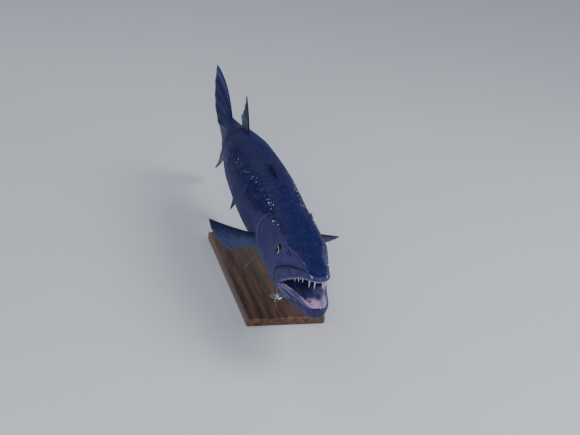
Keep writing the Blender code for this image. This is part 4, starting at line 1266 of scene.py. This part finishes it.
def make_pores(nearest):
    """Pale pores over the eyes, and beads of painted highlight at the gill openings, the snout's tip and
    along the lateral lines.
    """
    bm = bmesh.new()
    bmesh.ops.create_uvsphere(bm, u_segments=10, v_segments=6, radius=0.5)
    bead = pattern_mesh("bead", bm)
    draw = random.Random(3)
    pores = []
    flank_glints = []
    for sign in (1, -1):
        # The gill and snout beads are painted highlights; the canal's beads added below are pores
        spots = list(GILL_GLINTS + SNOUT_GLINTS)
        back = CANAL[0][0]
        while back < CANAL[-1][0]:
            height = pale_line(back) + draw.uniform(-PORE_WANDER, PORE_WANDER)
            spots.append((back, height, draw.uniform(*PORE_SIZES)))
            back += draw.uniform(*PORE_GAPS)
        for back, height, size in spots:
            pores.append((back, on_side(angle_at(back, height), sign), size))
        # Beads of painted highlight along the lateral line
        for _ in range(FLANK_GLINT_COUNT):
            back = mix(*FLANK_GLINT_BACKS, draw.random() ** 1.4)
            angle = math.pi / 2 - math.pi * (lateral_line(back) + draw.gauss(*FLANK_GLINT_RISE))
            size = mix(*FLANK_GLINT_SIZES, draw.random() ** 4)
            flank_glints.append((back, on_side(angle, sign), size))
    lay_beads("head_pores_and_glints", pores, nearest, bead, PORE_HEIGHT)
    lay_beads("flank_glint_beads", flank_glints, nearest, bead, FLANK_GLINT_HEIGHT)
    bpy.data.meshes.remove(bead)


# Eyes

def make_eye(name, sign):
    """A flattened ball with its front domed a little over the pupil."""
    out = (Vector(EYE_FACING) * Vector((1, sign, 1))).normalized()
    half = (EYE_DEPTH + EYE_BULGE) / 2
    bm = bmesh.new()
    bmesh.ops.create_uvsphere(bm, u_segments=48, v_segments=28, radius=1.0)
    for vert in bm.verts:
        from_axis = math.hypot(vert.co.x, vert.co.y)
        vert.co.z += 0.10 * ridge(from_axis, 0.42) * (1 if vert.co.z > 0 else 0)
    sizes = (EYE_RADIUS, EYE_RADIUS, half)
    matrix = frame_of(eye_middle(sign) + out * (EYE_BULGE - half), Vector((1, 0, 0)), out, sizes)
    bmesh.ops.transform(bm, matrix=matrix, verts=bm.verts)
    bmesh.ops.recalc_face_normals(bm, faces=bm.faces)
    piece = finished("eyeball_" + name, bm, "eye_" + name)
    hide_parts("eye_" + name)


# Teeth and tongue

def tooth_pattern():
    """A tooth of height 1: an oval cone in five lengths, curved back a little."""
    bm = bmesh.new()
    made = bmesh.ops.create_circle(bm, cap_ends=True, segments=10, radius=0.5)
    ring = made["verts"]
    for taper in (0.93, 0.88, 0.80, 0.68, 0.16):
        edges = [edge for edge in bm.edges if all(vert in ring for vert in edge.verts)]
        made = bmesh.ops.extrude_edge_only(bm, edges=edges)
        ring = [item for item in made["geom"] if isinstance(item, bmesh.types.BMVert)]
        bmesh.ops.scale(bm, vec=(taper, taper, 1.0), verts=ring)
        bmesh.ops.translate(bm, vec=(0.0, 0.0, 0.2), verts=ring)
    bmesh.ops.contextual_create(bm, geom=[edge for edge in bm.edges if edge.is_boundary])
    for vert in bm.verts:
        vert.co.x -= 0.22 * math.sin(math.pi * vert.co.z)
    return pattern_mesh("tooth", bm)


def gum_point(back, across, upper):
    """Side and height of a point on a jaw's rim, from its inner edge (0) to its outer edge (1)."""
    tip = SNOUT_TIP if upper else CHIN_TIP
    rim = upper_rim(back) if upper else lower_rim(back)
    outer = section(back, angle_at(back, rim, tip), 0.0, tip)[0]
    middle, rise, drop, width = hollow_measures(back, upper)
    share = min(1.0, abs(rim - middle) / (rise if upper else drop))
    inner = width * (1 - share**HOLLOW_SQUARENESS) ** (1 / HOLLOW_SQUARENESS)
    return mix(inner, outer, across), rim


def tooth_places(upper):
    """Root, length and width of each tooth of one jaw, on the left and on the right."""
    row = UPPER_ROW if upper else LOWER_ROW
    spots = []
    for i in range(row["count"]):
        share = i / (row["count"] - 1)
        back = mix(row["first"], row["last"], share)
        length = mix(row["front"], row["rear"], share) * TOOTH_LENGTHS[i % 3]
        length = min(length, GAPE_SHARE * (upper_rim(back) - lower_rim(back)))
        side, height = gum_point(back, row["across"], upper)
        width = TOOTH_WIDTH * length + TOOTH_LEAST_WIDTH
        spots += [(back, sign * side, height, length, width) for sign in (1, -1)]
    if not upper:
        back, side, length = CHIN_FANG
        return spots + [(back, side, lower_rim(back), length, CHIN_FANG_WIDTH * length)]
    for sign in (1, -1):
        for back, side, length in FRONT_FANGS:
            spots.append((back, sign * side, upper_rim(back), length, FANG_WIDTH * length))
        for back, length in PALATE_FANGS:
            side, height = gum_point(back, PALATE_FANG_ACROSS, True)
            spots.append((back, sign * side, height, length, FANG_WIDTH * length))
    return spots


def make_teeth(name, upper, pattern):
    bm = bmesh.new()
    way = -1 if upper else 1
    for back, side, height, length, width in tooth_places(upper):
        root = place(back, side, height)
        tip = place(back + TOOTH_RAKE * length, side * 0.97, height + way * length)
        axis = (tip - root).normalized()
        sizes = (width, TOOTH_FLATNESS * width, length + TOOTH_SINK)
        stamp(bm, pattern, frame_of(root - axis * TOOTH_SINK, Vector((1, 0, 0)), axis, sizes))
    bmesh.ops.recalc_face_normals(bm, faces=bm.faces)
    finished(name, bm, "tooth")


def make_tongue():
    """A low, blunt tongue with a groove along its middle."""
    low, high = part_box("tongue")
    bm = bmesh.new()
    bmesh.ops.create_uvsphere(bm, u_segments=40, v_segments=24, radius=1.0)
    for vert in bm.verts:
        vert.co.z -= 0.22 * ridge(vert.co.y, 0.25) * max(0.0, vert.co.z)
        vert.co.z += 0.05 * math.cos(14 * vert.co.x) * max(0.0, vert.co.z)
    size = (high - low) / 2
    bmesh.ops.transform(bm, matrix=Matrix.Diagonal((*size, 1.0)), verts=bm.verts)
    bmesh.ops.translate(bm, vec=(low + high) / 2, verts=bm.verts)
    piece = finished("tongue_skin", bm, "tongue")
    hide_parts("tongue")


# Fins

def bowed(start, elbow, end, share):
    return start * (1 - share) ** 2 + elbow * (2 * share * (1 - share)) + end * share**2


def bow(root, tip, along, tall):
    """The elbow of a bowed ray, by its shares of the way along and up."""
    return Vector((mix(root.x, tip.x, along), mix(root.y, tip.y, along), mix(root.z, tip.z, tall)))


def branch(place_among, share):
    """How strongly a ray shows at a place among the rays. Each parts in two and then in four to its tip."""
    first = 0.22 * smooth(0.35, 1.0, share)
    second = 0.09 * smooth(0.70, 1.0, share)
    off = abs(place_among - round(place_among))
    nearest = min(abs(off - first - second), abs(off - first + second))
    return max(0.0, 1 - (nearest / mix(0.20, 0.11, share)) ** 2)


def make_fin(name, ray, count, facing, rows, nodes, lead=1.6, notch=0.02, branched=True):
    """A fin laid over its rays, thin between them. ray gives root, elbow and tip at a share across it."""
    columns = (count - 1) * CELLS_PER_RAY
    bm = bmesh.new()
    bmesh.ops.create_grid(bm, x_segments=columns, y_segments=rows, size=0.5)
    made = bmesh.ops.extrude_face_region(bm, geom=bm.faces[:], use_keep_orig=True)
    other_face = [item for item in made["geom"] if isinstance(item, bmesh.types.BMVert)]
    bmesh.ops.translate(bm, vec=(0, 0, 1), verts=other_face)
    bone = bm.verts.layers.float.new("ray")
    outer = bm.verts.layers.float.new("outer")
    front = bm.verts.layers.float.new("front")
    material = next((key for key in ("tail", "pelvic") if key in name), "fin")
    streak_at, streak_half = {"tail": (1.0, 0.6), "pelvic": (0.5, 0.4), "fin": (0.0, 5.0)}[material]
    for vert in bm.verts:
        across = vert.co.x + 0.5
        share = vert.co.y + 0.5
        among = across * (count - 1)
        strength = branch(among, share if branched else 0.0)
        leading = ridge(among, 0.30)
        half = mix(WEB_HALF, mix(RAY_ROOT_HALF, RAY_TIP_HALF, share), math.sqrt(strength))
        half = max(half, leading * lead * mix(RAY_ROOT_HALF, RAY_TIP_HALF, share))
        reach = 1 - notch * (1 - max(strength, leading)) * smooth(0.2, 1.0, share)
        point = bowed(*ray(across), share * reach)
        ripple = RIPPLE * math.sin(among * 2.4 + 3 * share) * share
        vert[bone] = max(strength, leading)
        vert[outer] = share
        vert[front] = ridge(among - streak_at, streak_half)
        vert.co = point + facing * (ripple + (half if vert.co.z > 0.5 else -half))
    bmesh.ops.recalc_face_normals(bm, faces=bm.faces)
    piece = finished(name, bm, material)
    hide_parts(*nodes)


def edge_point(back, side, height):
    """A point of a fin's edge. Unlike place, it doesn't follow the sweep of the body."""
    return Vector((SNOUT_X - back, side, AXIS_Z + height))


def make_tail():
    for name, sign in (("upper", 1), ("lower", -1)):
        lobe = TAIL_LOBES[name]
        fork = edge_point(*FORK)
        hollow = edge_point(*lobe["hollow"])
        lobe_tip = edge_point(*lobe["tip"])

        def ray(across):
            share = 1 - across
            tip = bowed(fork, hollow, lobe_tip, share)
            tip.x -= TAIL_HUMP * math.sin(math.pi * min(1.0, share / 0.5)) ** 2
            root = place(TAIL_ROOT_BACK - STEM_END, 0.0, sign * TAIL_ROOT_HALF_HEIGHT * share)
            return root, bow(root, tip, *lobe["elbow"]), tip

        make_fin("tail_lobe_" + name, ray, 12, Vector((0, 1, 0)), 40, ["tail_fin_" + name], 2.2, 0.010)


def make_first_dorsal():
    def ray(across):
        back = mix(*SPINE_BACKS, across)
        tip_back = back + mix(*SPINE_SWEEP, across)
        root = place(back, 0.0, top_height(back) - FIN_SINK)
        tip = place(tip_back, 0.0, top_height(tip_back) + mix(*SPINE_RISE, across))
        return root, bow(root, tip, *SPINE_ELBOW), tip

    make_fin("spiny_dorsal", ray, 5, Vector((0, 1, 0)), 20, ["first_dorsal_fin"], 1.2, 0.22, False)


def make_median_fin(name, node, plan, edge, sink):
    """The second dorsal fin or the anal fin."""
    lead, hollow, last = [place(*point) for point in plan["edge"]]

    def ray(across):
        back = mix(*plan["root"], across)
        root = place(back, 0.0, edge(back) + sink)
        tip = bowed(lead, hollow, last, across)
        return root, bow(root, tip, *MEDIAN_ELBOW), tip

    make_fin(name, ray, 11, Vector((0, 1, 0)), 28, [node], 1.8, 0.012)


def make_paired_fin(name, node, roots, plan, sign, count):
    """A fin of one side, its rays fanned from their roots. Roots and plan are those of the left side."""
    flip = Vector((1, sign, 1))
    offsets = [Vector((-back, side, height)) for back, side, height in plan]

    def ray(across):
        root = mix(roots[0], roots[1], across)
        reach = bowed(*offsets, across)
        elbow = root + reach * Vector(SIDE_FIN_ELBOW)
        return root * flip, elbow * flip, (root + reach) * flip

    facing = offsets[0].cross(offsets[2]).normalized() * flip
    make_fin(name, ray, count, facing, 28, [node])


def make_pectoral_fins():
    """The two side fins behind the gill covers, each spread in its own way."""
    roots = []
    for back, height in PECTORAL_ROOT:
        side = section(back, angle_at(back, height))[0]
        roots.append(place(back, side - FIN_SINK, height))
    make_paired_fin("pectoral_left", "pectoral_fin_left", roots, PECTORAL_LEFT, 1, 13)
    make_paired_fin("pectoral_right", "pectoral_fin_right", roots, PECTORAL_RIGHT, -1, 13)


def make_pelvic_fins():
    """The two small fins under the belly."""
    roots = []
    for back, side in PELVIC_ROOT:
        fullness = (1 - (side / half_width(back)) ** squareness(back)) ** (1 / squareness(back))
        belly = mix(widest_height(back), bottom_height(back), fullness)
        roots.append(place(back, side, belly + FIN_SINK))
    make_paired_fin("pelvic_left", "pelvic_fin_left", roots, PELVIC_PLAN, 1, 6)
    make_paired_fin("pelvic_right", "pelvic_fin_right", roots, PELVIC_PLAN, -1, 6)


# Stand, room and camera

def finish_stand():
    for node, material in STAND_FINISHES:
        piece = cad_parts[node]
        piece.data.materials.clear()
        piece.data.materials.append(MATERIALS[material])


def make_floor():
    bm = bmesh.new()
    bmesh.ops.create_grid(bm, x_segments=2, y_segments=2, size=FLOOR_HALF_SIZE)
    mesh = mesh_of("floor", bm)
    mesh.materials.append(MATERIALS["floor"])
    floor = linked("floor", mesh)


def light_room():
    """A pale sky and the lamps, all aimed at the fish."""
    world = bpy.data.worlds.new("room")
    world.use_nodes = True
    background = world.node_tree.nodes["Background"].inputs
    background["Color"].default_value = tone("room")
    background["Strength"].default_value = ROOM_LIGHT
    bpy.context.scene.world = world
    for name, spot, size, power in LAMPS:
        lamp = bpy.data.lights.new(name, "AREA")
        lamp.size = size
        lamp.energy = power
        holder = linked(name, lamp)
        holder.location = spot
        holder.rotation_euler = (Vector(LAMP_AIM) - Vector(spot)).to_track_quat("-Z", "Y").to_euler()


def make_camera():
    """The photograph's view, rolled a little."""
    turn = math.radians(CAMERA_TURN)
    tip = math.radians(CAMERA_TIP)
    roll = math.radians(CAMERA_ROLL)
    look = Vector((math.cos(tip) * math.cos(turn), math.cos(tip) * math.sin(turn), -math.sin(tip)))
    right = look.cross(Vector((0, 0, 1))).normalized()
    up = right.cross(look)
    rolled_right = right * math.cos(roll) + up * math.sin(roll)
    rolled_up = up * math.cos(roll) - right * math.sin(roll)
    lens = bpy.data.cameras.new("camera")
    lens.lens = CAMERA_LENS
    camera = linked("camera", lens)
    matrix = Matrix((rolled_right, rolled_up, -look)).transposed().to_4x4()
    matrix.translation = CAMERA_SPOT
    camera.matrix_world = matrix
    bpy.context.scene.camera = camera


make_materials()
skin = make_skin()
nearest = make_coat(skin)
make_pores(nearest)
make_eye("left", 1)
make_eye("right", -1)
tooth = tooth_pattern()
make_teeth("upper_teeth", True, tooth)
make_teeth("lower_teeth", False, tooth)
make_tongue()
make_tail()
make_first_dorsal()
make_median_fin("soft_dorsal", "second_dorsal_fin", SECOND_DORSAL, top_height, -FIN_SINK)
make_median_fin("anal", "anal_fin", ANAL, bottom_height, FIN_SINK)
make_pectoral_fins()
make_pelvic_fins()
finish_stand()
make_floor()
light_room()
make_camera()
